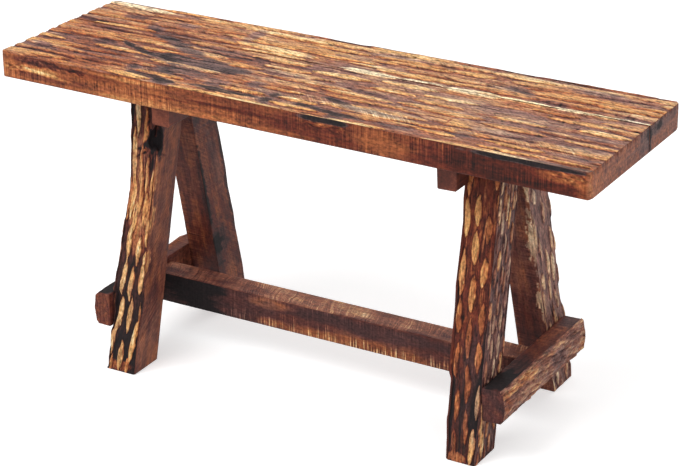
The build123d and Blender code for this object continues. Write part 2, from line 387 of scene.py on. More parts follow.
@dataclass
class Timber:
    """One piece of wood: a section carried from end to end, and rings that shrink onto the ends' middles."""
    node: str
    slot: str
    seed: int
    length: float = 0.0
    step: float = 2.0           # between stations
    arris: float = 1.0          # rounding of the end edges
    end_rings: int = 8

    def section(self) -> Section:
        """Outline seen on the end."""
        raise NotImplementedError

    def set_out(self, t: Array, across: Array, depth: Array) -> Array:
        """Point of the frame for a share t of the length and a place in the section."""
        raise NotImplementedError

    def directions(self) -> tuple[Array, Array, Array]:
        """Unit directions across, in depth and along the timber: +Y, +Z and +X unless it lies another way."""
        return np.array([0, 1, 0]), np.array([0, 0, 1]), np.array([1, 0, 0])

    def carve(self, s: Spots) -> Skin:
        """Relief and finish of the surface."""
        raise NotImplementedError

    def stations(self, half: float) -> tuple[Array, Array, Array, Array]:
        """Rings from one end's middle, over its edge, along the timber and onto the other end's middle.

        Along the rounded edge at angle f the ring is r(1 - sin f) from the end and smaller by r(1 - cos f).

        Args:
            half: Half of the section's smaller size.

        Returns:
            Distance along, shrink, and weights of the sides' and of the end's direction, per ring.
        """
        r = self.arris
        f = np.radians([75, 45, 20])
        inward, smaller, sideways, endways = r * (1 - np.sin(f)), r * (1 - np.cos(f)), np.cos(f), np.sin(f)
        shrink = r + (0.86 * half - r) * np.linspace(1, 0, self.end_rings) ** 1.4
        body = np.linspace(r, self.length - r, max(2, round((self.length - 2 * r) / self.step)))
        cap, sides = np.zeros(self.end_rings), np.zeros(len(body))
        along = np.concatenate([cap, inward, body, self.length - inward[::-1], cap + self.length])
        small = np.concatenate([shrink, smaller, sides, smaller[::-1], shrink[::-1]])
        side = np.concatenate([cap, sideways, sides + 1, sideways[::-1], cap])
        end = np.concatenate([cap - 1, -endways, sides, endways[::-1], cap + 1])
        return along, small, side, end

    def build(self, finish: "Stain") -> bpy.types.Object:
        """Makes the piece's mesh, its attributes and its flat map.

        Args:
            finish: The stain that it gets.

        Returns:
            The piece, riding on the bench and standing for its node.
        """
        sec = self.section()
        middle = (sec.across.max() + sec.across.min()) / 2, (sec.depth.max() + sec.depth.min()) / 2
        halves = (sec.across.max() - sec.across.min()) / 2, (sec.depth.max() - sec.depth.min()) / 2
        along, small, side, end = self.stations(min(halves))
        across = middle[0] + (sec.across - middle[0]) * (1 - small[:, None] / halves[0])
        depth = middle[1] + (sec.depth - middle[1]) * (1 - small[:, None] / halves[1])
        t = np.broadcast_to((along / self.length)[:, None], across.shape)
        shape = across.shape
        spots = Spots(self.set_out(t, across, depth), t * self.length, across, depth,
                      np.broadcast_to(sec.out_across, shape), np.broadcast_to(sec.out_depth, shape),
                      np.broadcast_to(np.abs(end)[:, None], shape))
        skin = self.carve(spots)
        go_across, go_depth, go_along = self.directions()
        sideways = sec.out_across[:, None] * go_across + sec.out_depth[:, None] * go_depth
        outward = side[:, None, None] * sideways + end[:, None, None] * go_along
        points = (spots.place + skin.lift[..., None] * outward) * MM
        flat = self.flat_map(sec, along, across, depth)
        offset = np.random.default_rng(self.seed).uniform(-3, 3, 3)      # so that no two share a grain

        def per_point(*values: Array | float) -> Array:
            """Three numbers at each point."""
            return np.stack([np.broadcast_to(v, shape) for v in values], -1)

        mesh = grid_mesh(self.node, points, flat, {
            "grain": per_point(spots.along + skin.shear, across, depth) * MM + offset,
            "mark": np.clip(per_point(skin.light, skin.warm, skin.char), 0, 1),
            "face": per_point(skin.hewn, spots.cap, skin.streak),
            "isle": np.clip(per_point(skin.crest, skin.isle_light, skin.isle_warm), 0, 1)})
        piece = new_object(f"{self.node}_hewn", mesh)
        mesh.materials.append(finish.material())
        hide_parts(self.node)
        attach(piece, "root")
        log.info("%s: %d faces", piece.name, len(mesh.polygons))
        return piece

    def flat_map(self, sec: Section, along: Array, across: Array, depth: Array) -> tuple[Array, Array, Array]:
        """Flat layout: the sides unrolled into one rectangle, with the two ends side by side above it.

        Args:
            sec: The outline.
            along: Distance along, per ring.
            across: Place across, per point.
            depth: Place in depth, per point.

        Returns:
            Corners on the unrolled sides, with one column more than there are points, and on the two ends.
        """
        gap = 8                     # between the parts, in millimetres
        girth = sec.girth
        u = np.broadcast_to(along[:, None], (len(along), len(girth)))
        v = np.broadcast_to(girth[None, :], u.shape)
        tall, wide = depth.max() - depth.min(), across.max() - across.min()
        first = np.stack([across - across.min(), girth[-1] + gap + depth - depth.min()], -1)
        second = first + np.array([wide + gap, 0])
        size = 1.02 * max(self.length, girth[-1] + gap + tall, 2 * wide + gap)
        return tuple((part + gap / 2) / (size + gap) for part in (np.stack([u, v], -1), first, second))


def new_object(name: str, data: bpy.types.ID) -> bpy.types.Object:
    """Object of the scene that shows this data."""
    made = bpy.data.objects.new(name, data)
    bpy.context.scene.collection.objects.link(made)
    return made


def grid_mesh(name: str, points: Array, flat: tuple[Array, Array, Array],
              attributes: dict[str, Array]) -> bpy.types.Mesh:
    """Closes a grid of rings into a solid: four-sided faces between rings, and one face on each last ring.

    Args:
        name: Name of the mesh.
        points: Places in metres, rings by points by 3.
        flat: Flat layout of the sides and the two ends.
        attributes: Three numbers per point, by name.

    Returns:
        The mesh, with its faces outward.
    """
    m, n = points.shape[:2]
    index = np.arange(m * n).reshape(m, n)
    nxt = np.roll(index, -1, 1)
    quads = np.stack([index[:-1], nxt[:-1], nxt[1:], index[1:]], -1).reshape(-1, 4)
    co = points.reshape(-1, 3)
    p = co[quads]
    outward = np.cross(p[:, 1] - p[:, 0], p[:, 2] - p[:, 0])
    volume = np.einsum("ij,ij->i", outward, p.mean(1) - co.mean(0)).sum()
    sides, first, second = flat
    corner = np.stack([sides[:-1, :-1], sides[:-1, 1:], sides[1:, 1:], sides[1:, :-1]], 2)
    rings = np.flatnonzero(np.diff(sides[:, 0, 0]) > 1e-9)          # those that aren't on an end
    low, high = rings[0], rings[-1] + 1
    for ends, block in ((first, slice(0, low)), (second, slice(high, m - 1))):
        wrapped = np.roll(ends, -1, 1)
        corner[block] = np.stack([ends[:-1], wrapped[:-1], wrapped[1:], ends[1:]], 2)[block]
    corner = corner.reshape(-1, 4, 2)
    caps = [index[0][::-1], index[-1]]
    cap_flat = [first[0][::-1], second[-1]]
    if volume < 0:
        quads, corner = quads[:, ::-1], corner[:, ::-1]
        caps, cap_flat = [c[::-1] for c in caps], [c[::-1] for c in cap_flat]
    loops = np.concatenate([quads.ravel(), *caps])
    uv = np.concatenate([corner.reshape(-1, 2), *cap_flat])
    starts = np.concatenate([np.arange(len(quads)) * 4, [len(quads) * 4, len(quads) * 4 + n]])
    mesh = bpy.data.meshes.new(name)
    mesh.vertices.add(m * n)
    mesh.vertices.foreach_set("co", co.astype(np.float32).ravel())
    mesh.loops.add(len(loops))
    mesh.loops.foreach_set("vertex_index", loops.astype(np.int32))
    mesh.polygons.add(len(starts))
    mesh.polygons.foreach_set("loop_start", starts.astype(np.int32))
    mesh.polygons.foreach_set("use_smooth", np.ones(len(starts), bool))
    mesh.update(calc_edges=True)
    layer = mesh.uv_layers.new(name="OFBake")
    layer.data.foreach_set("uv", uv.astype(np.float32).ravel())
    for key, values in attributes.items():
        mesh.attributes.new(key, "FLOAT_VECTOR", "POINT").data.foreach_set(
            "vector", values.reshape(-1, 3).astype(np.float32).ravel())
    mesh.validate()
    return mesh


# ------------------------------------------------------------------ seat
SEAT_CUTS = cuts_at(
    (45, 39.5, 50, 11.2, 0.9, 0.6), (-88, 27, 50, 9, 0.76, 0.77), (15, 11, 50, 10.1, 0.77, 0.81),
    (118, 22, 48, 9, 0.76, 0.75), (-62, 0, 42, 7.8, 0.7, 0.77), (-115, 47, 55, 6.7, 0.76, 0.75),
    (-42, 106, 56, 6.7, 0.72, 0.75), (90, 95, 56, 5.6, 0.72, 0.75), (75, -45, 60, 7.8, 0.71, 0.75, -0.05),
    (12, -98, 34, 7.8, 0.74, 0.95), (110, -8, 38, 7.8, 0.66, 0.75), (125, -138, 45, 6.7, 0.76, 0.95),
    (-27, -73, 40, 6.7, 0.66, 0.95), (-130, -133, 50, 5.6, 0.72, 0.95), (15, -122, 40, 5.6, 0.7, 0.95),
    (-75, -100, 38, 7.8, 0.7, 0.95), (35, 64, 42, 5.6, 0.7, 0.75), (208, 39.5, 50, 11.8, 0.9, 0.55),
    (195, 2, 46, 6.7, 0.72, 0.75), (285, 42, 42, 3.9, 0.86, 0.5), (430, -18, 42, 9, 0.66, 0.85, -0.04),
    (430, -60, 46, 5.6, 0.74, 0.75, -0.05), (315, -54, 50, 9, 0.68, 0.75), (390, 5, 60, 6.7, 0.7, 0.8),
    (185, -22, 42, 7.8, 0.66, 0.75), (310, -27, 46, 6.7, 0.69, 0.75), (345, -108, 46, 5.6, 0.7, 0.95),
    (340, -127, 50, 5.6, 0.72, 0.95), (428, -127, 32, 4.5, 0.72, 0.95), (230, -115, 32, 5.6, 0.72, 0.95),
    (340, 23, 40, 6.7, 0.64, 0.95), (170, 102, 42, 9, 0.7, 0.75), (-398, 126, 66, 10, 0.72, 0.6),
    (-370, 43, 56, 6.7, 0.78, 0.8), (-325, -40, 45, 9, 0.77, 0.83), (-450, -40, 36, 7.8, 0.74, 0.8),
    (-275, -17, 36, 6.7, 0.72, 0.95), (-385, -10, 60, 7.8, 0.66, 0.85),
    (-255, -48, 30, 4.5, 0.72, 0.85, -0.2), (-210, -101, 42, 6.7, 0.7, 0.95),
    (-255, -124, 42, 9, 0.72, 0.9), (-210, 32, 40, 10.1, 0.68, 0.75), (365, 40.5, 50, 3.6, 0.95, 0.5),
    (440, 40, 34, 3.2, 0.92, 0.5), (128, 42, 36, 3.2, 0.9, 0.5),
)

SEAT_PATCHES = patches_at(
    # burning
    (-185, -38, 88, 22, -0.14, -0.5, 0.95, -0.05), (-245, 8, 84, 15, -0.12, -0.45, 0.72, -0.5),
    (-185, 16, 74, 15, -0.2, -0.3, 0.42), (-285, -32, 66, 7, -0.08, -0.35, 0.7, -0.45),
    (-190, -78, 56, 23, -0.1, -0.35, 0.52), (-262, -92, 17, 20, -0.06, -0.35, 0.42),
    (-225, -112, 46, 8, -0.08, -0.35, 0.75, -0.1), (-196, -122, 23, 12, -0.06, -0.45, 0.55),
    (-100, -113, 96, 7, -0.04, -0.35, 0.6), (-122, -97, 25, 18, -0.05, -0.35, 0.38),
    (-68, -72, 20, 12, -0.03, -0.45, 0.38), (-28, -108, 13, 29, -0.04, -0.35, 0.52),
    (-30, -92, 26, 8, 0, -0.3, 0.4), (60, -113, 86, 7, -0.04, -0.35, 0.6, -0.12),
    (65, -78, 36, 10, -0.04, -0.4, 0.6, -0.4), (120, -92, 58, 9, -0.04, -0.45, 0.58),
    (85, -130, 20, 15, -0.04, -0.35, 0.5), (165, -120, 52, 9, 0, -0.35, 0.36),
    (262, -103, 23, 12, 0, -0.4, 0.42), (170, -76, 60, 8, 0, -0.3, 0.2), (432, -80, 40, 14, 0, -0.4, 0.36),
    (440, -108, 40, 8, 0, -0.4, 0.3), (330, -84, 70, 9, 0, -0.3, 0.22),
    (430, -141, 80, 6, -0.15, -0.3, 0.6), (0, 82, 46, 10, -0.1, -0.45, 0.46),
    (262, 75, 34, 13, -0.1, -0.45, 0.5, -0.3), (20, 142, 483, 5.4, -0.15, -0.3, 0.45),
    (-80, -50, 70, 8, 0, -0.2, 0.2, -0.1),
    # mauve spots
    (-178, 95, 12, 26, -0.12, -0.6, 0.1), (-380, 84, 27, 9, -0.14, -0.6), (-285, 88, 22, 9, -0.13, -0.6),
    (-325, 60, 20, 12, -0.12, -0.6, 0.1, -0.6), (-430, -80, 26, 13, -0.12, -0.6, 0.1),
    (-360, -20, 20, 11, -0.12, -0.6, 0.1), (-65, 60, 14, 10, -0.1, -0.6, 0.1),
    (60, 117, 60, 9, -0.04, -0.5), (365, 112, 60, 10, -0.1, -0.5, 0.05),
    (315, 52, 34, 10, -0.12, -0.4, 0.2), (440, 45, 26, 12, -0.08, -0.6, 0.1),
    (425, -38, 54, 8, -0.12, -0.6, 0.05), (-20, 22, 24, 8, -0.1, -0.5), (280, 2, 60, 8, -0.06, -0.5),
    (-395, 22, 60, 12, -0.12, -0.3), (-60, -20, 60, 6, -0.05, -0.4), (330, -76, 80, 9, -0.04, -0.5),
    (-330, -70, 60, 9, -0.06, -0.4), (60, -28, 70, 6, -0.06, -0.4), (210, -36, 60, 6, -0.05, -0.4),
    (-420, 52, 50, 8, -0.12, -0.3),
    # paler and darker ground
    (-370, -137, 110, 8, -0.25, 0.3, 0.16), (-350, -20, 140, 150, -0.11, 0.05),
    (60, 45, 300, 50, 0.06, 0.0), (-20, 125, 460, 14, 0.14, 0.0), (-400, 126, 84, 13, 0.2, -0.1),
    (250, -20, 200, 50, 0.06, 0.05), (0, -125, 460, 25, 0.02, 0.15), (-100, 60, 80, 16, 0.08, 0.1),
    (-150, -10, 90, 40, -0.06, 0.0),
)

HATCHED = patches_at(
    (20, -82, 90, 20, 0.28), (-60, -112, 60, 14, 0.3), (150, -95, 60, 16, 0.4), (250, -92, 50, 12, 0.35),
    (-260, -95, 50, 14, 0.3), (380, -95, 60, 20, 0.3),
)

SEAT_MARKS = cuts_at(
    (386, -16, 2.4, 13, -0.42, 0), (389, -28, 9, 1.6, -0.4, 0), (462, 11, 10, 3.0, -0.6, 0),
    (412, 57, 1.8, 6, -0.35, 0), (428, 58, 2.0, 7, -0.4, 0), (437, 50, 2.2, 8, -0.4, 0),
    (444, 60, 1.8, 7, -0.35, 0), (330, 54, 1.8, 5, -0.3, 0), (48, -22, 6, 3, -0.3, 0),
    (228, -70, 1.6, 10, -0.35, 0), (186, -61, 30, 1.5, -0.4, 0), (206, -67, 18, 1.3, -0.35, 0),
    (-270, -77, 15, 1.3, -0.35, 0), (-330, -97, 14, 1.3, -0.3, 0), (32, -92, 5, 2, -0.3, 0),
    (-95, -98, 1.6, 7, -0.3, 0), (-95, 38.5, 70, 1.5, -0.35, 0), (-400, 112, 62, 1.4, -0.32, 0),
    (-370, 33, 60, 1.4, -0.25, 0), (8, -56, 28, 1.5, 0.3, 0), (130, 43.5, 44, 1.7, 0.36, 0),
    (280, 40.5, 46, 4.4, 0.4, 0), (370, 40, 100, 4.4, 0.6, 0), (125, 42, 40, 3, 0.3, 0),
    (-125, 40.5, 90, 1.6, -0.3, 0), (-95, 21, 46, 1.4, -0.28, 0), (-65, 13, 40, 1.4, -0.28, 0),
    (100, 34, 40, 1.4, -0.25, 0), (-232, -55, 16, 1.3, 0.28, 0, -0.3), (300, 43, 44, 2.0, 0.2, 0),
    (390, -47, 50, 1.4, 0.22, 0, -0.12), (120, 37.8, 34, 1.4, -0.3, 0), (70, -33, 50, 1.3, -0.22, 0),
    (-20, 17, 46, 1.2, -0.25, 0), (-80, 16, 56, 1.3, -0.25, 0), (120, 12, 46, 1.2, -0.25, 0),
    (375, 117, 22, 1.4, -0.35, 0), (-180, 5, 50, 1.6, -0.3, 0),
)

EDGE_PATCHES = patches_at(
    (-455, 436, 22, 26, 0.11, 0.1), (-400, 449, 80, 6, -0.14, -0.2, 0.11), (-400, 438, 50, 6, 0.19, 0.1),
    (-378, 433, 52, 3.5, 0.3, 0.2, 0, -0.1), (-390, 428, 100, 6, -0.08, -0.1),
    (-300, 442, 60, 8, -0.05, 0.1), (-190, 423, 170, 7, 0.2, 0.1), (-190, 436, 170, 8, 0.08, 0.1),
    (-60, 440, 70, 4, -0.11, 0.1), (10, 422, 60, 5, 0.11, 0.1), (-240, 451, 80, 4, 0.19, 0.2),
    (74, 452, 52, 6, -0.24, -0.3, 0.95), (75, 446, 32, 6, 0.08, 0.1, -0.23), (60, 430, 80, 20, -0.08),
    (165, 436, 60, 18, 0.14, 0.1), (250, 436, 70, 20, -0.05, 0), (380, 453, 110, 5, -0.14, -0.3, 0.85),
    (335, 434, 90, 20, -0.13, 0.0, 0.0), (352, 426, 60, 8, -0.06, 0.0, 0.0),
    (-332, 447, 20, 4, -0.2, 0, 0.2), (-180, 437, 60, 2, -0.16, 0), (-110, 441, 60, 2, -0.14, 0),
    (420, 442, 40, 8, 0.16, 0.2, -0.23), (425, 426, 60, 8, -0.07, 0.1, 0.11),
    (455, 436, 14, 22, 0.14, 0.2, -0.11),
)

# Where the front and back edges are torn: x, height, half-length and half-height.
TORN_EDGE = ((78, 446, 34, 9), (-332, 447, 24, 6), (-392, 448, 62, 6), (-436, 436, 26, 8), (436, 444, 34, 8))

END_PATCHES = patches_at(
    (-130, 436, 30, 25, 0.08, 0.15), (-60, 436, 60, 25, 0.02, 0.0), (22, 440, 20, 30, -0.05, -0.3, 0.45),
    (50, 446, 30, 12, -0.05, -0.4, 0.5), (40, 430, 6, 30, -0.1, -0.2, 0.7),
    (95, 448, 50, 9, -0.02, -0.3, 0.35), (110, 430, 40, 14, 0.04, -0.1, 0.0),
    (138, 438, 3, 30, 0.1, -0.2, 0.0),
)


@dataclass
class Plank(Timber):
    """One of the seat's two planks, along X. Across is from its front edge, and depth is above the floor."""
    front_left: float = 0.0     # y of the front edge at the two ends
    front_right: float = 0.0
    back: float = 0.0
    outer: int = -1             # side with the rounded corners: -1 front, 1 back
    length: float = 2 * SEAT_RIGHT
    step: float = 2.9
    arris: float = 1.6
    end_rings: int = 10
    groove: float = 2.5         # depth of the gouge strokes
    ground_light: float = 0.485
    ground_warm: float = 0.35
    edge_light: float = 0.312
    edge_warm: float = 0.82
    end_light: float = 0.38
    end_warm: float = 0.52

    @property
    def width(self) -> float:
        """Mean width."""
        return self.back - (self.front_left + self.front_right) / 2

    def section(self) -> Section:
        """Rectangle with the top sampled finely; the outer top edge is rounder than the one at the seam."""
        w = self.width
        outer, seam = 2.0, 0.6
        first, last = (outer, seam) if self.outer < 0 else (seam, outer)
        edge_front, edge_back = (1.3, 6.0) if self.outer < 0 else (6.0, 2.0)
        return rounded_section([(0, UNDERSIDE), (w, UNDERSIDE), (w, SEAT_TOP), (0, SEAT_TOP)],
                               [first, last, last, first], [7.0, edge_back, 1.15, edge_front])

    def set_out(self, t: Array, across: Array, depth: Array) -> Array:
        """Runs from the skew left end to the right one, both rounded at the outer corner.

        At a distance e from the outer edge, less than r, the end stands back by r - sqrt(r^2 - (r - e)^2).
        """
        front = self.front_left + (self.front_right - self.front_left) * t
        y = front + across / self.width * (self.back - front)
        e = np.clip(y - front if self.outer < 0 else self.back - y, 0, PLAN_CORNER)
        stand_back = PLAN_CORNER - np.sqrt(np.maximum(PLAN_CORNER ** 2 - (PLAN_CORNER - e) ** 2, 0))
        left = -SEAT_RIGHT + LEFT_SKEW * (y - FRONT_LEFT) / (BACK_EDGE - FRONT_LEFT) + stand_back
        x = left + t * (SEAT_RIGHT - stand_back - left)
        return np.stack([x, y, depth], -1)

    def carve(self, s: Spots) -> Skin:
        """Lens-shaped islands along the top with grooves between them; saw marks on the edges and ends."""
        x, y, z = np.moveaxis(s.place, -1, 0)
        rough, warp = Unevenness(101), Unevenness(103)
        wander = (4.0 * warp.swing(x / 90, y / 30, 2) + 1.3 * warp.swing(x / 24 + 40, y / 7, 2)
                  + 0.7 * warp.swing(x / 6 + 20, y / 2.5, 2))
        drift = 6.0 * warp.swing(x / 30 + 80, y / 4 + 7, 3)
        ax, ay = x + drift, y + wander
        large = brick_cuts(105, CARVED_X, CARVED_Y, pitch=(114, 15.5), size=(78, 10.5), light=(0.55, 0.72),
                           warm=(0.5, 0.88), jitter=0.3, by_hand=SEAT_CUTS)
        small = brick_cuts(107, CARVED_X, CARVED_Y, pitch=(62, 5.2), size=(36, 2.2), light=(0.42, 0.66),
                           warm=(0.25, 0.8), jitter=0.4)
        isle, chip = lay(large, ax, ay, 0.55, 0.5), lay(small, ax + 7, ay + 2, 0.9)
        shadow = ease(lay(large, ax, ay + 2.6, 0.55, 0.5).crest - isle.crest, 0.1, 0.7)
        fibre = rough.swing(x / 24, y / 1.9, 3)
        fleck = rough.swing(x / 4.5 + 50, y / 2.4 + 11, 2)
        broad = rough.swing(x / 120 + 9, y / 40 + 3, 2)
        band = rough.swing(x / 70 + 31, y / 5.5 + 13, 3)
        zone = rough.swing(x / 110 + 21, y / 24 + 73, 2)
        mauve = rough.swing((x + y) / 75 + 51, y / 13 + 29, 3)
        splits = scratch(strokes(109, 420, SEAT_X, SEAT_Y, (5, 34), (0.8, 1.5), (-0.34, -0.14)), x, y)
        splinters = scratch(strokes(111, 420, SEAT_X, SEAT_Y, (5, 40), (0.8, 1.7), (0.10, 0.26)), x, y)
        marks = scratch(as_rows(SEAT_MARKS), x + 1.5 * fleck, y + 0.8 * fleck)
        askew = strokes(113, 260, SEAT_Y, (-560, 560), (2.5, 9), (0.9, 1.8), (-0.26, -0.08), 0.35)
        splits = splits + np.minimum(marks, 0) + scratch(askew, y, x + 0.9 * y)
        splinters = splinters + np.maximum(marks, 0)
        top = ease(s.out_depth, 0.45, 0.9) * (1 - ease(s.cap, 0.5, 0.95))
        ground = (self.ground_light - 0.1 * shadow + 0.07 * zone + 0.07 * fibre + 0.05 * broad + 0.08 * band
                  + (chip.light - 0.44) * 0.55 * chip.crest)
        patch = rough.swing(x / 70 + 61, y / 7 + 33, 2)
        inner = isle.light + 0.04 * fibre + 0.03 * fleck + 0.08 * patch + 0.09 * zone - 0.08 * shadow
        scored = splits + splinters
        light_top = ground + scored
        warm_top = (self.ground_warm + 0.1 * band + 0.1 * broad - 0.5 * mauve
                    + 0.2 * (chip.warm - 0.5) * chip.crest)
        ragged = (0.55 * rough.swing(x / 50 + 70, y / 6 + 5, 3)
                  + 0.6 * rough.swing((x - y) / 22 + 7, y / 10 + 15, 2))
        d_light, d_warm, d_char = spread(SEAT_PATCHES, x, y, ragged)
        char_top = np.clip(d_char * 1.3, 0, 0.8) * (0.9 + 0.2 * fibre)
        front = FRONT_LEFT + (FRONT_RIGHT - FRONT_LEFT) * (x + SEAT_RIGHT) / (2 * SEAT_RIGHT)
        # painted highlight along the front top edge, and a darker strip along the back edge
        arris = (0.2 * ease(y - front, 5.0, 1.0) * (0.6 + 0.8 * band)
                 - 0.1 * ease(y, BACK_EDGE - 5, BACK_EDGE - 1))
        seam = ease(np.abs(y - SEAM), 4.0, 1.0)
        light_top = light_top + arris + 0.1 * seam
        hatch = spread(HATCHED, x, y, 0.5 * ragged)[0] * top
        relief = (1 - np.maximum(isle.crest, 0.45 * chip.crest)) * (1 - 0.6 * seam)
        lift_top = (-self.groove * relief * (0.85 + 0.25 * broad) + 0.42 * fibre + 0.22 * fleck
                    + 1.6 * np.minimum(splits, 0) + 1.1 * splinters - 0.35)
        # the four edges
        e_light, e_warm, e_char = spread(EDGE_PATCHES, x, z, 0.6 * ragged)
        n_light, n_warm, n_char = spread(END_PATCHES, y, z, 0.5 * ragged)
        checks = rough.swing(x / 60 + 3, z / 3.2, 3)
        light_edge = self.edge_light + 0.07 * checks + e_light - 0.00016 * x
        upright = rough.swing(y / 4.2 + 3, z / 30, 2)
        light_end = self.end_light + 0.09 * upright + 0.06 * checks + n_light
        cap = ease(s.cap, 0.3, 0.9)
        below = ease(-s.out_depth, 0.5, 0.9) * (1 - cap)
        light_side = light_edge * (1 - cap) + light_end * cap
        light = mix(light_side, light_top + d_light, top)
        warm_side = (self.edge_warm + e_warm) * (1 - cap) + (self.end_warm + n_warm) * cap
        warm = mix(warm_side, warm_top + d_warm, top)
        char = (np.clip(e_char, 0, 1) * (1 - cap) + np.clip(n_char, 0, 1) * cap) * (1 - top) + char_top * top
        torn = np.zeros(x.shape)
        for tx, tz, half_long, half_high in TORN_EDGE:
            reach = np.hypot((x - tx) / half_long, (z - tz) / half_high) + 0.5 * ragged
            torn = np.maximum(torn, ease(reach, 1.05, 0.6))
        torn = torn * ease(-s.out_across, 0.3, 0.6) * (1 - cap)
        shred = rough.swing(x / 3.2 + 3, z / 2.2 + 8, 2) + 0.5 * rough.swing((x + 2 * z) / 5, z / 9, 2)
        light = light + 0.26 * shred * torn
        brow = ease(z, 449, 457) * relief
        lift_side = 0.15 * checks - 1.3 * torn * (0.6 + 0.5 * shred) - 0.25 - 1.1 * brow
        lift_side = lift_side * (1 - cap) + (0.12 * checks - 0.2 - 2.0 * brow) * cap
        lift = lift_side * (1 - below) + (lift_top - lift_side) * top
        return Skin(lift, light, warm, char, np.maximum(top, torn),
                    crest=(isle.crest + 0.16 * patch * isle.crest) * top,
                    isle_light=inner + scored + arris + d_light,
                    isle_warm=isle.warm + 0.1 * broad - 0.22 * mauve + d_warm,
                    streak=hatch, shear=0.9 * y * top)


# ------------------------------------------------------------------ trestles
@dataclass(frozen=True)
class Stance:
    """Where a trestle stands and how it leans in over the stretcher."""
    inward: int                 # +1 if the middle of the bench lies towards +X
    centre: float
    lean: float                 # degrees

    def stand(self, across: Array, y: Array, up: Array) -> Array:
        """Turns a point of the upright trestle by the lean round Y and moves it to its end of the bench."""
        c, k = math.cos(math.radians(self.lean)), self.inward * math.sin(math.radians(self.lean))
        return np.stack([self.centre + across * c + up * k, y, up * c - across * k], -1)

    def turned(self) -> tuple[Array, Array]:
        """The upright trestle's across and up directions after the lean."""
        c, k = math.cos(math.radians(self.lean)), self.inward * math.sin(math.radians(self.lean))
        return np.array([c, 0, -k]), np.array([k, 0, c])


LEFT = Stance(1, -268.5, 0.8)
RIGHT = Stance(-1, 289.5, 1.7)


class Side(Enum):
    """Side of the bench that a leg is on."""
    FRONT = -1
    BACK = 1


@dataclass(frozen=True)
class Bark:
    """How a leg's carved faces look: the pattern of islands and the colours of islands and grooves."""
    seed: int
    pitch: Pair = (58.0, 15.0)
    size: Pair = (22.0, 5.2)
    light: Pair = (0.5, 0.75)
    warm: Pair = (0.7, 0.95)
    ground: float = 0.16
    ground_warm: float = 0.6
    char_high: float = 0.2      # burning of the grooves at the top of the leg
    char_low: float = 0.7       # the same at the foot
    depth: float = 2.2
    cuts: tuple[Cut, ...] = ()
    patches: tuple[Patch, ...] = ()
    soft: float = 0.45
    fill: bool = True           # whether islands are also laid at random, from pitch, size, light and warm
    cracks: float = 0.12        # how dark the network of fine cracks is
    worn: float = 0.3           # share of the patches' lightness that the islands take


CREAM_CUTS = cuts_at(
    (312, -15, 44, 5.8, 0.68, 0.75), (258, -13, 40, 6.3, 0.66, 0.8), (300, -2, 30, 4.8, 0.62, 0.8),
    (262, 2, 36, 5.2, 0.6, 0.85), (238, 13, 30, 6.3, 0.62, 0.8), (288, 10, 34, 3.8, 0.54, 0.8),
    (226, -4, 26, 5.2, 0.64, 0.8), (270, 20, 34, 3.8, 0.54, 0.75), (333, 1, 16, 4.2, 0.54, 0.8),
    (386, -9.5, 49.3, 4.9, 0.85, 0.7), (352, 3.6, 33.6, 4.5, 0.56, 0.9), (392, 12.5, 15.7, 3.7, 0.73, 0.75),
    (214, 20, 30.2, 5.5, 0.64, 0.8), (250, -19, 38.1, 3, 0.5, 0.8), (190, -8, 28, 6.1, 0.75, 0.75),
    (178, 9, 24.6, 4.8, 0.67, 0.72), (137, -9.5, 31.4, 5.4, 0.77, 0.7, 0.05),
    (130, 3.8, 28, 4.9, 0.73, 0.7, 0.05), (142, 19, 29.1, 5.1, 0.71, 0.72, 0.05),
    (86, -9.5, 26.9, 5.1, 0.77, 0.7, 0.1), (53, -17, 32.5, 5.1, 0.73, 0.72, 0.12),
    (84, 5.4, 30.2, 4.9, 0.73, 0.72, 0.08), (46, 15.5, 35.8, 5.7, 0.68, 0.88, 0.1),
    (22, -3, 26.9, 5.5, 0.73, 0.76, 0.05), (88, 21.5, 20.2, 3.3, 0.61, 0.82), (8, 9, 13.4, 4.1, 0.53, 0.85),
    (168, 21, 13.4, 3.5, 0.69, 0.72), (10, -18, 13.4, 3, 0.57, 0.8),
)

ORANGE_CUTS = cuts_at(
    (378, -18, 25.6, 5, 0.5, 0.9), (326, -18.5, 30.9, 5.8, 0.65, 0.88), (253, -18, 34, 6.1, 0.63, 0.9),
    (195, -17.5, 26.6, 5.7, 0.49, 0.95), (135, -14.5, 27.6, 5.1, 0.43, 0.95),
    (76, -11, 27.6, 5.1, 0.39, 0.9), (26, -12, 19.2, 5, 0.35, 0.7), (338, -3.2, 23.4, 6.1, 0.64, 0.9),
    (288, -3, 25.6, 6.7, 0.65, 0.9), (228, -1.5, 28.7, 5.8, 0.57, 0.95), (168, -0.5, 28.7, 5.8, 0.47, 1),
    (108, 1.6, 28.7, 5.7, 0.41, 1), (50, 4, 25.6, 5.1, 0.37, 0.85), (318, 12, 21.3, 6.3, 0.49, 0.92),
    (258, 11.5, 24.5, 6.5, 0.57, 0.92), (196, 14.5, 23.4, 5.4, 0.45, 0.95),
    (145, 14, 23.4, 5.7, 0.49, 0.98), (84, 18.5, 25.6, 4.5, 0.73, 0.78), (24, 15, 27.6, 5.8, 0.71, 0.8),
    (400, 4, 17, 4.4, 0.5, 0.8), (384, 19, 17, 4.4, 0.44, 0.85), (5, -7, 9.6, 19.5, 0.45, 0.75),
    (232, 23.5, 27.6, 3, 0.47, 0.8), (350, 23, 21.3, 2.8, 0.5, 0.85), (404, -11, 14.9, 3.4, 0.56, 0.7),
)

BEIGE_CUTS = cuts_at(
    (268, -24, 42, 7, 0.73, 0.3), (242, -14.7, 20, 6, 0.69, 0.3), (208, 2, 27, 6, 0.73, 0.3),
    (186, -18, 17, 6, 0.71, 0.25), (242, 19, 25, 6, 0.65, 0.35), (324, -14.7, 15, 10, 0.75, 0.1),
    (150, -22, 28, 6, 0.65, 0.3), (290, 6, 22, 7, 0.59, 0.3), (340, 10, 20, 7, 0.63, 0.3),
)

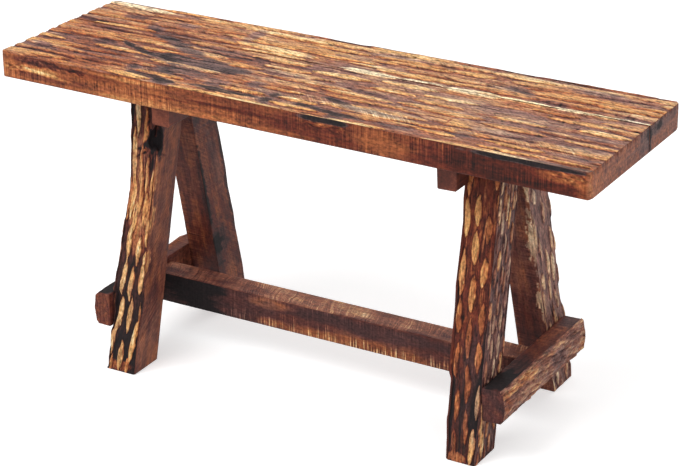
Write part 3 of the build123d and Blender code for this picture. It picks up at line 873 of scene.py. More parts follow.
CREAM_PATCHES = patches_at(
    (282, 0, 66, 34, 0.25, -0.02, -1.0), (228, -4, 34, 18, 0.24, 0.0, -1.0),
    (300, 13, 34, 9, 0.0, -0.05, 0.08), (262, 17, 30, 8, 0.02, 0, 0.05),
    (316, -4, 8, 2.6, -0.5, -0.2, 0.9, 1.8), (303, 13, 16, 2, -0.4, 0, 0.8),
    (298, 6, 14, 1.6, -0.35, 0, 0.7), (384, -22.5, 50, 5.5, -0.3, 0, 0.9), (318, -8, 34, 12, 0.12, -0.1),
    (306, -4, 20, 4, -0.35, 0.1), (262, 4, 24, 4, -0.35, 0.1), (245, 14, 22, 4, -0.3, 0.2),
    (270, -14, 16, 4, -0.3, 0.2), (290, 16, 26, 3, -0.25, 0.1), (196, 8, 30, 16, 0.3, 0.1, -0.6),
    (345, 4, 30, 8, 0.06, 0.2, -0.4), (8, 0, 9, 30, 0.2, 0.2, -0.9), (230, -24, 60, 3, -0.3, 0, 0.7),
    (331, 9, 3, 10, -0.5, -0.2, 1.0), (323, -5, 2.5, 8, -0.45, -0.2, 1.0),
    (316, -15, 2.5, 6, -0.4, -0.2, 1.0), (311, 21, 16, 5, -0.3, -0.2, 0.6), (235, 24, 3, 6, -0.3, 0.0, 0.6),
)

ORANGE_PATCHES = patches_at(
    (200, -23, 60, 4, -0.1, -0.4, 0.3), (60, 16, 50, 9, -0.05, -0.3, 0.5),
    (110, 6, 90, 24, -0.04, -0.5, 0.1), (70, -22, 60, 6, -0.1, -0.4, 0.4),
    (150, 22, 60, 6, -0.05, -0.3, 0.4), (405, 0, 12, 30, -0.12, 0.0, 0.3),
)

LEFT_FRONT_PATCHES = patches_at(
    (290, 25, 32, 5, 0.25, 0.1), (316, 14, 6, 2.5, -0.25, 0, 0.6, 2.0), (222, 25, 20, 6, 0.1, 0.1),
    (162, 25, 20, 6, 0.1, 0.1), (330, 21, 26, 8, -0.25, -0.2, 0.7), (105, 26, 34, 4, -0.12, -0.1, 0.6),
    (30, 0, 40, 34, 0.08, -0.05), (95, -6, 22, 26, -0.06, 0.0), (200, -25, 60, 5, -0.06, -0.4, 0.25),
    (385, 0, 40, 30, -0.08, -0.2, 0.2), (250, 8, 70, 14, 0.06, 0.0),
)

LEFT_FRONT_LAPS = patches_at(
    (228, 28, 26, 13, 1.0), (164, 29, 24, 13, 1.0), (290, 30, 34, 9, 1.0),
)

LEFT_FRONT_BOW = (
    (0, 2.0), (30, 0.8), (60, 3.6), (130, 4.6), (155, 1.6), (210, -1.6), (270, -6.2), (310, -1.8),
    (350, 1.6), (385, 7.0), (418, 6.0),
)

LEFT_BACK_PATCHES = patches_at(
    (210, 25, 140, 5, -0.16, -0.4, 0.5), (380, 0, 70, 40, -0.06, -0.4, 0.15), (150, -5, 70, 24, 0.03, 0.2),
    (230, -27, 110, 5, -0.1, -0.3, 0.8), (124, -14, 34, 24, -0.07, -0.45, 0.42),
    (112, -24, 40, 17, -0.08, -0.45, 0.5), (60, 6, 26, 24, 0.08, 0.05), (250, 8, 60, 12, 0.05, -0.2),
)

LEFT_BACK_INNER = patches_at(
    (390, 0, 60, 40, -0.05, -0.3, 0.15), (150, 0, 60, 30, 0.03, 0.2), (230, 22, 120, 5, -0.08, -0.2, 0.4),
    (60, 0, 30, 30, -0.04, 0.1),
)

LEFT_BACK_BOW = (
    (0, 2), (60, 5.5), (110, 4.5), (130, 3.5), (155, 5.5), (205, 2.8), (235, 5.4), (290, 4.6), (320, 3.2),
    (418, 3.0),
)

RIGHT_FRONT_BOW = (
    (0, -3.4), (30, -1.5), (60, 1.6), (125, 4.4), (205, 4.0), (235, 5.6), (290, 4.0), (320, 3.4),
    (350, 6.0), (418, 4.0),
)

RIGHT_BACK_INNER = patches_at(
    (330, 0, 60, 20, 0.03, -0.15), (90, 0, 60, 30, -0.07, 0.1, 0.1), (200, 0, 50, 24, 0.03, 0.0),
)

RIGHT_BACK_LAPS = patches_at(
    (262, 24, 50, 14, 1.0), (156, 25, 32, 11, 1.0), (340, 26, 30, 9, 1.0),
)

RIGHT_BACK_BOW = (
    (0, 0), (30, 4), (110, 4.3), (130, 0.6), (150, -1), (190, 1.2), (210, 2.6), (250, 1.4), (310, 3.2),
    (418, 1.0),
)

CREAM = Bark(21, ground=0.15, ground_warm=0.6, char_high=0.35, char_low=0.9, cuts=CREAM_CUTS, fill=False,
             cracks=0.24, patches=CREAM_PATCHES)
ORANGE = Bark(23, ground=0.24, ground_warm=0.8, char_high=0.0, char_low=0.6, cuts=ORANGE_CUTS, fill=False,
              patches=ORANGE_PATCHES)
MOSAIC = Bark(25, light=(0.38, 0.77), warm=(0.05, 0.75), ground=0.33, ground_warm=0.12, char_high=0.1,
              char_low=0.4, size=(20, 5.4), pitch=(42, 10.5), soft=0.7, cracks=0.2)
BEIGE = Bark(27, light=(0.6, 0.82), warm=(0.2, 0.45), ground=0.42, ground_warm=0.1, char_high=0.05,
             char_low=0.15, size=(26, 6.4), pitch=(58, 14.0), soft=0.7)
PALE = replace(BEIGE, seed=29, cuts=BEIGE_CUTS)


@dataclass
class Leg(Timber):
    """Splayed leg: across is along X, depth runs out to the bark. Its stations are level cuts."""
    stance: Stance = LEFT
    side: Side = Side.FRONT
    face_bark: Bark = MOSAIC    # face turned away from the bench's middle line
    outer_bark: Bark = MOSAIC   # face turned to the bench's end
    sawn_light: float = 0.24
    sawn_warm: float = 0.72
    left_bow: tuple[Pair, ...] = ()                             # height, how far the left side stands out
    bark_bow: tuple[Pair, ...] = ()                             # the same for the face turned away
    patches: tuple[Patch, ...] = ()                             # on the sawn side: height, depth
    inner_patches: tuple[Patch, ...] = ()                       # on the inner face: height, place across
    laps: tuple[Patch, ...] = ()                                # bark that laps onto the sawn side
    inner_laps: tuple[Patch, ...] = ()                          # the same on the inner face
    lap_light: float = 0.6
    lap_warm: float = 0.75
    length: float = UNDERSIDE
    step: float = 2.0
    arris: float = 1.2
    end_rings: int = 6
    crown: float = 2.5          # how far the face turned away falls off towards its sides

    def section(self) -> Section:
        """Rectangle, rounder at the two bark corners."""
        a, d = LEG_WIDTH / 2, LEG_DEPTH / 2
        out, inside = 1.15, 1.6         # distance between points on the carved and on the sawn side
        right, left = (out, inside) if self.stance.inward < 0 else (inside, out)
        return rounded_section([(-a, -d), (a, -d), (a, d), (-a, d)], [1.4, 1.4, 3.0, 3.0],
                               [1.8, right, 1.1, left])

    def set_out(self, t: Array, across: Array, depth: Array) -> Array:
        """Level cut at height z: the leg's middle line comes in by tan(splay) per unit of height.

        The inner face stops at the mitre on the bench's middle line, and depths between it and the bark face
        are shared out evenly.
        """
        s = self.stance
        lean = math.radians(s.lean)
        z = UNDERSIDE * t
        across, depth = self.bent(z, across, depth)
        up = (z + across * math.sin(lean) * s.inward) / math.cos(lean)
        middle = FOOT_SPREAD - math.tan(SPLAY) * up
        half = LEG_DEPTH / 2 / math.cos(SPLAY)
        inner = np.maximum(middle - half, MITRE_GAP)
        y = self.side.value * (inner + (depth + LEG_DEPTH / 2) / LEG_DEPTH * (middle + half - inner))
        x = s.centre + across * math.cos(lean) + s.inward * up * math.sin(lean)
        return np.stack([x, y, z], -1)

    def bent(self, z: Array, across: Array, depth: Array) -> tuple[Array, Array]:
        """Stretches a level cut so that its left side and its bark face follow their waney bows.

        A point at the share s from the left side to the right one moves by (1 - s) times the left bow, and in
        depth by its share of the bark bow. The left side doesn't stand proud where the rails lie.
        """
        share, out = 0.5 + across / LEG_WIDTH, 0.5 + depth / LEG_DEPTH
        if self.left_bow:
            left = np.interp(z, *zip(*self.left_bow))
            held = ease(np.abs(z - RAIL_MIDDLE), 22, 34) * ease(z, UNDERSIDE, 385)
            across = across - np.where(left > 0, left * held, left) * (1 - share)
        if self.bark_bow:
            depth = depth + np.interp(z, *zip(*self.bark_bow)) * out
        return across, depth

    def directions(self) -> tuple[Array, Array, Array]:
        """Across is +X, depth is out from the bench's middle line, and along is up."""
        return np.array([1, 0, 0]), np.array([0, self.side.value, 0]), np.array([0, 0, 1])

    def islands(self, bark: Bark, z: Array, c: Array, warp: Unevenness) -> tuple[Islands, list[Array]]:
        """Islands of one carved face with their finish.

        Args:
            bark: The face's pattern.
            z: Height.
            c: Place across the face.
            warp: Field that makes the outlines uneven.

        Returns:
            The islands, and lightness, warmth and burning of the ground.
        """
        if bark.fill:
            table = brick_cuts(bark.seed, (-20, 440), (-45, 45), pitch=bark.pitch, size=bark.size,
                               light=bark.light, warm=bark.warm, jitter=0.14, by_hand=bark.cuts)
        else:
            table = as_rows(bark.cuts)
        k = 11.0 * bark.seed        # another part of the field for each bark
        wander = (1.6 * warp.swing(z / 34 + k, c / 14, 2) + 0.9 * warp.swing(z / 10 + k, c / 6, 2)
                  + 0.45 * warp.swing(z / 4 + k, c / 3, 2))
        isle = lay(table, z + 4 * warp.swing(z / 12 + 9 + k, c / 4, 2), c + wander, bark.soft)
        fibre = warp.swing(z / 13 + k, c / 1.7 + 30, 3)
        fleck = warp.swing(z / 4.5 + k, c / 2.2 + 60, 2)
        patchy = warp.swing(z / 30 + k, c / 9 + 3, 3)
        seed = bark.seed * 7
        splits = scratch(strokes(seed, 90, BARK_Z, BARK_ACROSS, (4, 22), (0.8, 1.4), (-0.3, -0.12)), z, c)
        thin = strokes(seed + 1, 90, BARK_Z, BARK_ACROSS, (4, 24), (0.8, 1.5), (0.08, 0.26))
        splinters = scratch(thin, z, c)
        ground = bark.ground + 0.08 * fibre + 0.09 * patchy
        crackle = np.exp(-(warp.swing(z / 15 + k, c / 5 + 7, 2) / 0.07) ** 2)
        scored = splits + splinters - bark.cracks * crackle * (0.6 + 0.8 * patchy)
        char = bark.char_low + (bark.char_high - bark.char_low) * ease(z, 40, 260)
        p_light, p_warm, p_char = spread(bark.patches, z, c, 0.7 * patchy + 0.3 * fibre)
        char = np.clip(char * (0.85 + 0.5 * patchy) + p_char, 0, 1)
        isle.crest *= 1 + 0.2 * patchy
        isle.light += 0.05 * fibre + 0.05 * fleck + 0.06 * patchy + scored + p_light * bark.worn
        isle.warm += 0.1 * patchy + 0.5 * p_warm
        return isle, [ground + scored + p_light, bark.ground_warm + 0.25 * patchy + p_warm, char]

    def carve(self, s: Spots) -> Skin:
        """Islands on the two outer faces; the two inner ones are sawn."""
        z, a, d = s.place[..., 2], s.across, s.depth
        warp = Unevenness(self.seed + 1)
        face_side = ease(s.out_depth, 0.35, 0.8)
        outer_side = ease(-self.stance.inward * s.out_across, 0.6, 0.9)
        face, face_look = self.islands(self.face_bark, z, a, warp)
        outer, outer_look = self.islands(self.outer_bark, z, d, warp)
        hewn = np.maximum(face_side, outer_side)
        saw = warp.swing(z / 3.5, (a + d) / 26, 2)
        streak = warp.swing(z / 60, (a - d) / 5, 3)
        blot = warp.swing(z / 40 + 5, (a - d) / 22 + 9, 3)
        uneven = 0.7 * warp.swing(z / 22, (a + d) / 8, 3) + 0.9 * warp.swing(z / 4.5, (a + d) / 14, 2)
        beside = ease(np.abs(s.out_across), 0.6, 0.8)
        p_light, p_warm, p_char = (m * beside + n * (1 - beside) for m, n in zip(
            spread(self.patches, z, d, uneven), spread(self.inner_patches, z, a, uneven)))
        light = self.sawn_light + 0.03 * saw + 0.09 * streak + 0.12 * blot + p_light
        warm = self.sawn_warm + 0.15 * streak + 0.16 * blot + p_warm
        # bark that laps onto the sawn faces
        feather = warp.swing(z / 11 + d / 3, (a + d) / 2.6 + 40, 3)
        frayed = 0.4 * uneven + 0.9 * feather
        lap = ease(spread(self.laps, z, d, frayed)[0] * beside
                   + spread(self.inner_laps, z, a, frayed)[0] * (1 - beside), 0.3, 0.5)
        look = [mix(light, self.lap_light + 0.26 * feather, lap),
                mix(warm, self.lap_warm + 0.2 * feather, lap), p_char]
        for side, carved_look in ((outer_side, outer_look), (face_side, face_look)):
            look = [mix(old, new, side) for old, new in zip(look, carved_look)]
        light, warm, char = look
        shape = -self.face_bark.depth * (1 - face.crest) * face_side
        shape += -self.outer_bark.depth * (1 - outer.crest) * outer_side * (1 - face_side)
        crown = -self.crown * (2 * a / LEG_WIDTH) ** 2 * face_side
        lift = shape + crown + 0.12 * saw * (1 - hewn) + 0.25 * warp.swing(z / 8, (a + d) / 1.8, 2) * hewn
        # the inner face stays flat at the mitre
        inner = ease(-s.out_depth, 0.5, 0.9)
        lift = lift * (1 - inner * ease(z, MITRE_LOW, MITRE_HIGH)) - 0.1 * inner
        flat_foot = 1 - ease(s.cap, 0.1, 0.9)
        return Skin(lift * flat_foot, light, warm, np.clip(char, 0, 1), np.maximum(hewn, lap),
                    crest=mix(outer.crest * outer_side, face.crest, face_side),
                    isle_light=mix(outer.light, face.light, face_side),
                    isle_warm=mix(outer.warm, face.warm, face_side), shear=0.8 * d * beside * (1 - hewn))


@dataclass
class KnottyLeg(Leg):
    """Leg with a rotten knot hollow on its bark corner towards the middle of the bench."""
    knot_height: float = 345.0
    knot_radius: float = 14.0
    knot_half_stretch: float = 6.0
    knot_inset: float = 3.0
    knot_drop: float = 18.0     # from the knot's height to its flat lower end

    def carve(self, s: Spots) -> Skin:
        """The leg's own carving, burnt round the knot."""
        skin = super().carve(s)
        reach = self.reach(s.place)[0]
        split = Unevenness(self.seed + 9).swing(s.place[..., 2] / 14, (s.across + s.depth) / 2.4, 3)
        burnt = reach + 0.8 * split * ease(reach, 0.7, 1.0)
        skin.char = np.clip(skin.char + ease(burnt, 1.4, 1.05), 0, 1)
        skin.light = skin.light * (1 - 0.8 * ease(burnt, 1.3, 1.0))
        skin.crest = skin.crest * ease(reach, 1.0, 1.3)
        skin.lift = skin.lift * ease(reach, 0.95, 1.3)
        return skin

    def reach(self, place: Array) -> tuple[Array, Array, Array]:
        """Distance from the knot's middle line as a share of its radius, and how far inward and aside it is.

        The hollow is narrow above and rounded there; it widens downward and ends flat. It reaches less far
        onto the sawn side.
        """
        up = place[..., 2]
        middle = FOOT_SPREAD - math.tan(SPLAY) * up
        y0 = self.side.value * (middle + LEG_DEPTH / 2 / math.cos(SPLAY) - self.knot_inset)
        lean = math.tan(math.radians(self.stance.lean)) * self.stance.inward
        x0 = self.stance.centre + lean * up + self.stance.inward * (LEG_WIDTH / 2 - self.knot_inset)
        dx, dy = place[..., 0] - x0, place[..., 1] - y0
        inward = np.array([-self.stance.inward, -self.side.value]) / math.sqrt(2)
        q = dx * inward[0] + dy * inward[1]
        side = dx * inward[1] - dy * inward[0]
        h = np.maximum(np.abs(up - self.knot_height) - self.knot_half_stretch, 0)
        ragged = 1 + 0.34 * Unevenness(self.seed + 8).swing(up / 9, side / 6, 3)
        widened = ease(up, self.knot_height + 18, self.knot_height - 14)
        wide = self.knot_radius * (0.45 + 0.8 * widened)
        sawn = np.where(side * self.side.value * self.stance.inward < 0, 1.8, 1.0)
        level = np.hypot(q, side * sawn) / wide
        above = np.hypot(level, h / self.knot_radius)
        below = np.maximum(level, (self.knot_height - up) / self.knot_drop)
        share = np.where(up > self.knot_height, above, below)
        return share * ragged, q, np.sqrt(side * side + h * h)

    def set_out(self, t: Array, across: Array, depth: Array) -> Array:
        """Level cuts, with every point inside the knot pushed in onto its far wall at sqrt(r^2 - w^2)."""
        place = super().set_out(t, across, depth)
        reach, q, w = self.reach(place)
        far = np.sqrt(np.maximum(self.knot_radius ** 2 - w * w, 0))
        push = np.where(reach < 1, np.maximum(far - q, 0), 0)
        place[..., 0] += push * -self.stance.inward / math.sqrt(2)
        place[..., 1] += push * -self.side.value / math.sqrt(2)
        return place


@dataclass
class Crossbar(Timber):
    """Low rail across the outer faces of the legs: across is out from them, depth is up."""
    stance: Stance = LEFT
    thickness: float = 28.0
    bottom: float = 61.5
    height: float = 51.5
    front: float = 140.0
    back: float = 128.0
    chamfer: float = 5.0
    bulge: float = 3.0
    under: float = 4.0
    light: float = 0.22
    warm: float = 0.58
    bark_light: float = 0.37
    bark_warm: float = 0.34
    end_shade: float = 0.0      # how much darker and greyer the ends are
    patches: tuple[Patch, ...] = ()          # on the top: y, place out from the legs
    bark_patches: tuple[Patch, ...] = ()     # on the outer face: y, height above the bottom
    step: float = 2.0
    arris: float = 1.4
    end_rings: int = 8

    def section(self) -> Section:
        """Sawn against the legs and on top; the bark side bulges and its corners are waney."""
        face, crown = LEG_WIDTH / 2, LEG_WIDTH / 2 + self.thickness
        edge, low, high = crown - self.bulge, self.bottom, self.bottom + self.height
        mid = (low + high) / 2
        return rounded_section(
            [(face, low), (edge - self.under, low), (edge, low + self.under), (crown, mid),
             (edge, high - self.chamfer), (edge - self.chamfer, high), (face, high)],
            [1.5, 2.0, 3.0, 20.0, 3.0, 2.0, 1.5], [3.0, 1.2, 1.2, 1.2, 1.2, 1.3, 6.0])

    def set_out(self, t: Array, across: Array, depth: Array) -> Array:
        """Straight from the front end to the back one, then leaned with the trestle."""
        y = -self.front + t * self.length
        return self.stance.stand(-self.stance.inward * across, y, depth)

    def directions(self) -> tuple[Array, Array, Array]:
        """Across is out from the legs, depth is up, along is +Y; both first ones lean with the trestle."""
        across, up = self.stance.turned()
        return -self.stance.inward * across, up, np.array([0, 1, 0])

    def carve(self, s: Spots) -> Skin:
        """Torn bark strips on the outer face; the rest is sawn and partly burnt."""
        y, out, up = s.place[..., 1], s.across - LEG_WIDTH / 2, s.depth - self.bottom
        warp = Unevenness(self.seed + 1)
        bark = ease(s.out_across, 0.25, 0.75) * (1 - ease(s.cap, 0.3, 0.9))
        fibre = warp.swing(y / 7, up / 1.8, 3)
        fold = 1 - 2.4 * np.abs(warp.swing(y / 34 + up / 16, up / 5.2 + y / 90, 3))
        torn, chunk = ease(fold, 0.1, 0.85), warp.swing(y / 20 + 5, up / 8, 2)
        skew = warp.swing((y + 1.4 * out) / 4.0, (y - out) / 60, 2)
        blot = warp.swing(y / 40, out / 14 + up / 14 + 3, 3)
        p_light, p_warm, p_char = (
            m * (1 - s.cap) for m in spread(self.patches, y, out, 0.8 * warp.swing(y / 22, out / 10, 2)))
        b_light, b_warm, b_char = spread(self.bark_patches, y, up, 0.8 * warp.swing(y / 22, up / 10, 2))
        light = self.light + 0.04 * skew + 0.08 * blot + p_light - self.end_shade * s.cap
        warm = self.warm + 0.2 * blot + p_warm - 5 * self.end_shade * s.cap
        light = mix(light, self.bark_light + 0.19 * torn + 0.16 * fibre + 0.05 * chunk + b_light, bark)
        warm = mix(warm, self.bark_warm + 0.25 * chunk + b_warm, bark)
        char = p_char * (1 - bark) + b_char * bark
        sharp = ease(s.out_across, 0.3, 0.6)
        upper, lower = sharp * ease(s.out_depth, 0.3, 0.6), sharp * ease(-s.out_depth, 0.3, 0.6)
        lift = (2.8 * (torn - 1) + 1.8 * chunk + 0.6 * fibre) * bark + 0.12 * skew * (1 - bark)
        lift += 0.7 * self.chamfer * ease(y, -60, 60) * ease(y, self.back, self.back - 3) * upper
        lift -= 4 * np.maximum(warp.swing(y / 26, 0.0, 2), 0) * lower
        against = ease(-s.out_across, 0.5, 0.9)
        return Skin(lift * (1 - against) * (1 - 0.6 * s.cap), light, warm, np.clip(char, 0, 1), bark)


@dataclass
class Stretcher(Timber):
    """Long rail between the crossbars, along X: across is +Y, depth is up. It ends at its shoulders."""
    width: float = 42.0
    height: float = 46.5
    top: float = 104.0
    length: float = 602.0       # that the distance between stations is worked out from
    front_light: float = 0.27
    top_lighter: float = 0.17   # added on top
    warm: float = 0.46
    step: float = 2.6
    arris: float = 0.6
    end_rings: int = 5
    patches_top: tuple[Patch, ...] = ()
    patches_front: tuple[Patch, ...] = ()

    def section(self) -> Section:
        """Rectangle with its long edges taken off."""
        w, low = self.width / 2, self.top - self.height
        return rounded_section([(-w, low), (w, low), (w, self.top), (-w, self.top)], [1.5, 1.5, 1.8, 1.8],
                               [3.0, 2.5, 1.2, 1.2])

    def shoulder(self, stance: Stance, up: Array) -> Array:
        """x of the plane where the stretcher meets a crossbar, at a height."""
        lean = math.radians(stance.lean)
        face = -stance.inward * LEG_WIDTH / 2
        high = (up + face * math.sin(lean) * stance.inward) / math.cos(lean)
        return stance.centre + face * math.cos(lean) + stance.inward * high * math.sin(lean)

    def set_out(self, t: Array, across: Array, depth: Array) -> Array:
        """Straight between the two leaning shoulders."""
        left, right = self.shoulder(LEFT, depth), self.shoulder(RIGHT, depth)
        return np.stack([left + t * (right - left), across, depth], -1)

    def carve(self, s: Spots) -> Skin:
        """Skew saw marks on top and upright ones in front."""
        x, y, z = np.moveaxis(s.place, -1, 0)
        warp = Unevenness(self.seed + 1)
        top = ease(s.out_depth, 0.4, 0.9)
        skew = warp.swing((x + 0.2 * y) / 5.0, y / 40, 2)
        upright = warp.swing(x / 3.2, z / 60, 2)
        ragged = warp.swing(x / 30, z / 12 + y / 12, 2)
        t_light, t_warm, t_char = spread(self.patches_top, x, y, 0.7 * ragged)
        f_light, f_warm, f_char = spread(self.patches_front, x, z, 0.7 * ragged)
        blot = warp.swing(x / 45 + 3, y / 14 + z / 14, 3)
        light = (self.front_light + 0.05 * upright + 0.07 * blot + f_light
                 + (self.top_lighter + 0.07 * skew - 0.05 * upright + 0.14 * blot + t_light - f_light) * top)
        warm = self.warm + mix(f_warm, t_warm, top)
        char = mix(f_char, t_char, top)
        lift = 0.14 * skew * top + 0.14 * upright * (1 - top) - 0.15
        front = ease(-s.out_across, 0.5, 0.9)
        high = 68 + 9 * ragged + 10 * warp.swing(x / 5, 0.0, 1)
        drip = ease(z, high + 7, high - 9) * ease(x, -190, -120) * ease(x, 230, 180) * front
        streak = 0.9 * drip + 0.26 * top * (0.6 + blot) * ease(x, -230, -60)
        return Skin(lift * (1 - s.cap), light, warm, np.clip(char, 0, 1), np.zeros(x.shape), streak=streak,
                    shear=(0.25 * y + 4 * ragged) * top)


# ------------------------------------------------------------------ finishes
def rgb(r: int, g: int, b: int) -> tuple[float, float, float, float]:
    """Linear colour, with alpha, of a paint-chart colour from 0 to 255."""
    share = [v / 255 for v in (r, g, b)]
    return (*(v / 12.92 if v <= 0.04045 else ((v + 0.055) / 1.055) ** 2.4 for v in share), 1.0)


def operation(name: str, swapped: bool = False) -> Callable[["Value", Any], "Value"]:
    """Method that puts a Math node on a value and another number.

    Args:
        name: What the node does.
        swapped: Whether the other number comes first.

    Returns:
        The method.
    """
    def method(self: "Value", other: Any) -> "Value":
        """Result of the node."""
        first, second = (other, self) if swapped else (self, other)
        made = self.graph.node("ShaderNodeMath", {"operation": name}, {0: first, 1: second})
        return Value(self.graph, made.outputs[0])

    return method


class Value:
    """A number that varies over the surface; arithmetic on it adds Math nodes."""

    def __init__(self, graph: "Graph", socket: bpy.types.NodeSocket) -> None:
        """Wraps an output socket of the graph."""
        self.graph, self.socket = graph, socket

    __add__ = __radd__ = operation("ADD")
    __mul__ = __rmul__ = operation("MULTIPLY")
    __sub__ = operation("SUBTRACT")
    __rsub__ = operation("SUBTRACT", swapped=True)
    most = operation("MAXIMUM")

    def ease(self, low: float, high: float) -> "Value":
        """Rises smoothly from 0 at low to 1 at high."""
        made = self.graph.node("ShaderNodeMapRange", {"interpolation_type": "SMOOTHSTEP"},
                               {"Value": self, "From Min": low, "From Max": high})
        return Value(self.graph, made.outputs[0])


class Graph:
    """The nodes of one material, or of the surroundings."""

    def __init__(self, owner: bpy.types.ID, output: str = "ShaderNodeOutputMaterial") -> None:
        """Empties the owner's nodes and starts them with its output."""
        owner.use_nodes = True
        self.owner, self.tree = owner, owner.node_tree
        self.tree.nodes.clear()
        self.output = self.node(output)

    def node(self, kind: str, settings: dict[str, Any] | None = None,
             sockets: dict[str | int, Any] | None = None) -> bpy.types.Node:
        """Adds a node.

        Args:
            kind: The node's type.
            settings: Properties, which are set first; "stops" are a ramp's places and colours.
            sockets: Values, or Value and socket links, by the input's name or number.

        Returns:
            The node.
        """
        made = self.tree.nodes.new(kind)
        for key, value in (settings or {}).items():
            if key == "stops":
                ramp = made.color_ramp
                while len(ramp.elements) < len(value):
                    ramp.elements.new(1.0)
                for element, (place, colour) in zip(ramp.elements, value):
                    element.position, element.color = place, colour
            else:
                setattr(made, key, value)
        for key, value in (sockets or {}).items():
            if isinstance(value, Value):
                self.tree.links.new(value.socket, made.inputs[key])
            elif isinstance(value, bpy.types.NodeSocket):
                self.tree.links.new(value, made.inputs[key])
            else:
                made.inputs[key].default_value = value
        return made

    def attribute(self, name: str) -> bpy.types.NodeSocket:
        """Three numbers that the mesh carries at each point."""
        return self.node("ShaderNodeAttribute", {"attribute_name": name}).outputs["Vector"]

    def place(self) -> bpy.types.NodeSocket:
        """Where a point lies on the object."""
        return self.node("ShaderNodeTexCoord").outputs["Object"]

    def parts(self, vector: bpy.types.NodeSocket) -> tuple[Value, Value, Value]:
        """The three numbers of a vector."""
        made = self.node("ShaderNodeSeparateXYZ", {}, {0: vector})
        return tuple(Value(self, out) for out in made.outputs)

    def streaks(self, vector: bpy.types.NodeSocket, per_metre: Triple, detail: float = 3.0,
                roughness: float = 0.55, distortion: float = 0.0) -> Value:
        """Noise stretched by a different count per metre in each direction."""
        moved = self.node("ShaderNodeMapping", {}, {"Vector": vector, "Scale": per_metre})
        made = self.node("ShaderNodeTexNoise", {}, {
            "Vector": moved.outputs[0], "Scale": 1.0, "Detail": detail, "Roughness": roughness,
            "Distortion": distortion})
        return Value(self, made.outputs[0])

    def blend(self, share: Any, first: Any, second: Any, how: str = "MIX") -> bpy.types.NodeSocket:
        """Colour between two colours."""
        made = self.node("ShaderNodeMix", {"data_type": "RGBA", "blend_type": how},
                         {0: share, 6: first, 7: second})
        return made.outputs[2]

    def ramp(self, value: Value, stops: tuple) -> bpy.types.NodeSocket:
        """Colour read off a ramp."""
        return self.node("ShaderNodeValToRGB", {"stops": stops}, {0: value}).outputs[0]

    def bump(self, height: Value, distance: float, strength: float = 1.0) -> bpy.types.NodeSocket:
        """Direction of the surface after a relief of this height."""
        made = self.node("ShaderNodeBump", {}, {"Height": height, "Distance": distance, "Strength": strength})
        return made.outputs[0]

    def seen(self) -> Value:
        """1 to the camera, directly or in a reflection, and 0 to the light that falls on other things."""
        path = self.node("ShaderNodeLightPath")
        seen = Value(self, path.outputs["Is Camera Ray"])
        for kind in ("Is Glossy Ray", "Is Transmission Ray"):
            seen = seen.most(Value(self, path.outputs[kind]))
        return seen

    def end(self, kind: str, sockets: dict[str | int, Any]) -> bpy.types.ID:
        """Ends the nodes with a shader, and hands out their owner."""
        self.tree.links.new(self.node(kind, {}, sockets).outputs[0], self.output.inputs[0])
        return self.owner

    def surface(self, colour: bpy.types.NodeSocket, rough: Value, more: dict[str, Any]) -> bpy.types.Material:
        """Ends a material with one principled shader."""
        return self.end("ShaderNodeBsdfPrincipled", {"Base Color": colour, "Roughness": rough, **more})


# Wood from dark to pale, with no warmth and with all of it.
GREYED = ((0.0, rgb(20, 15, 17)), (0.25, rgb(77, 48, 47)), (0.5, rgb(138, 98, 88)),
          (0.75, rgb(192, 159, 131)), (1.0, rgb(246, 228, 200)))
GOLDEN = ((0.0, rgb(24, 7, 5)), (0.25, rgb(100, 41, 27)), (0.5, rgb(170, 98, 57)),
          (0.75, rgb(219, 165, 102)), (1.0, rgb(252, 231, 180)))


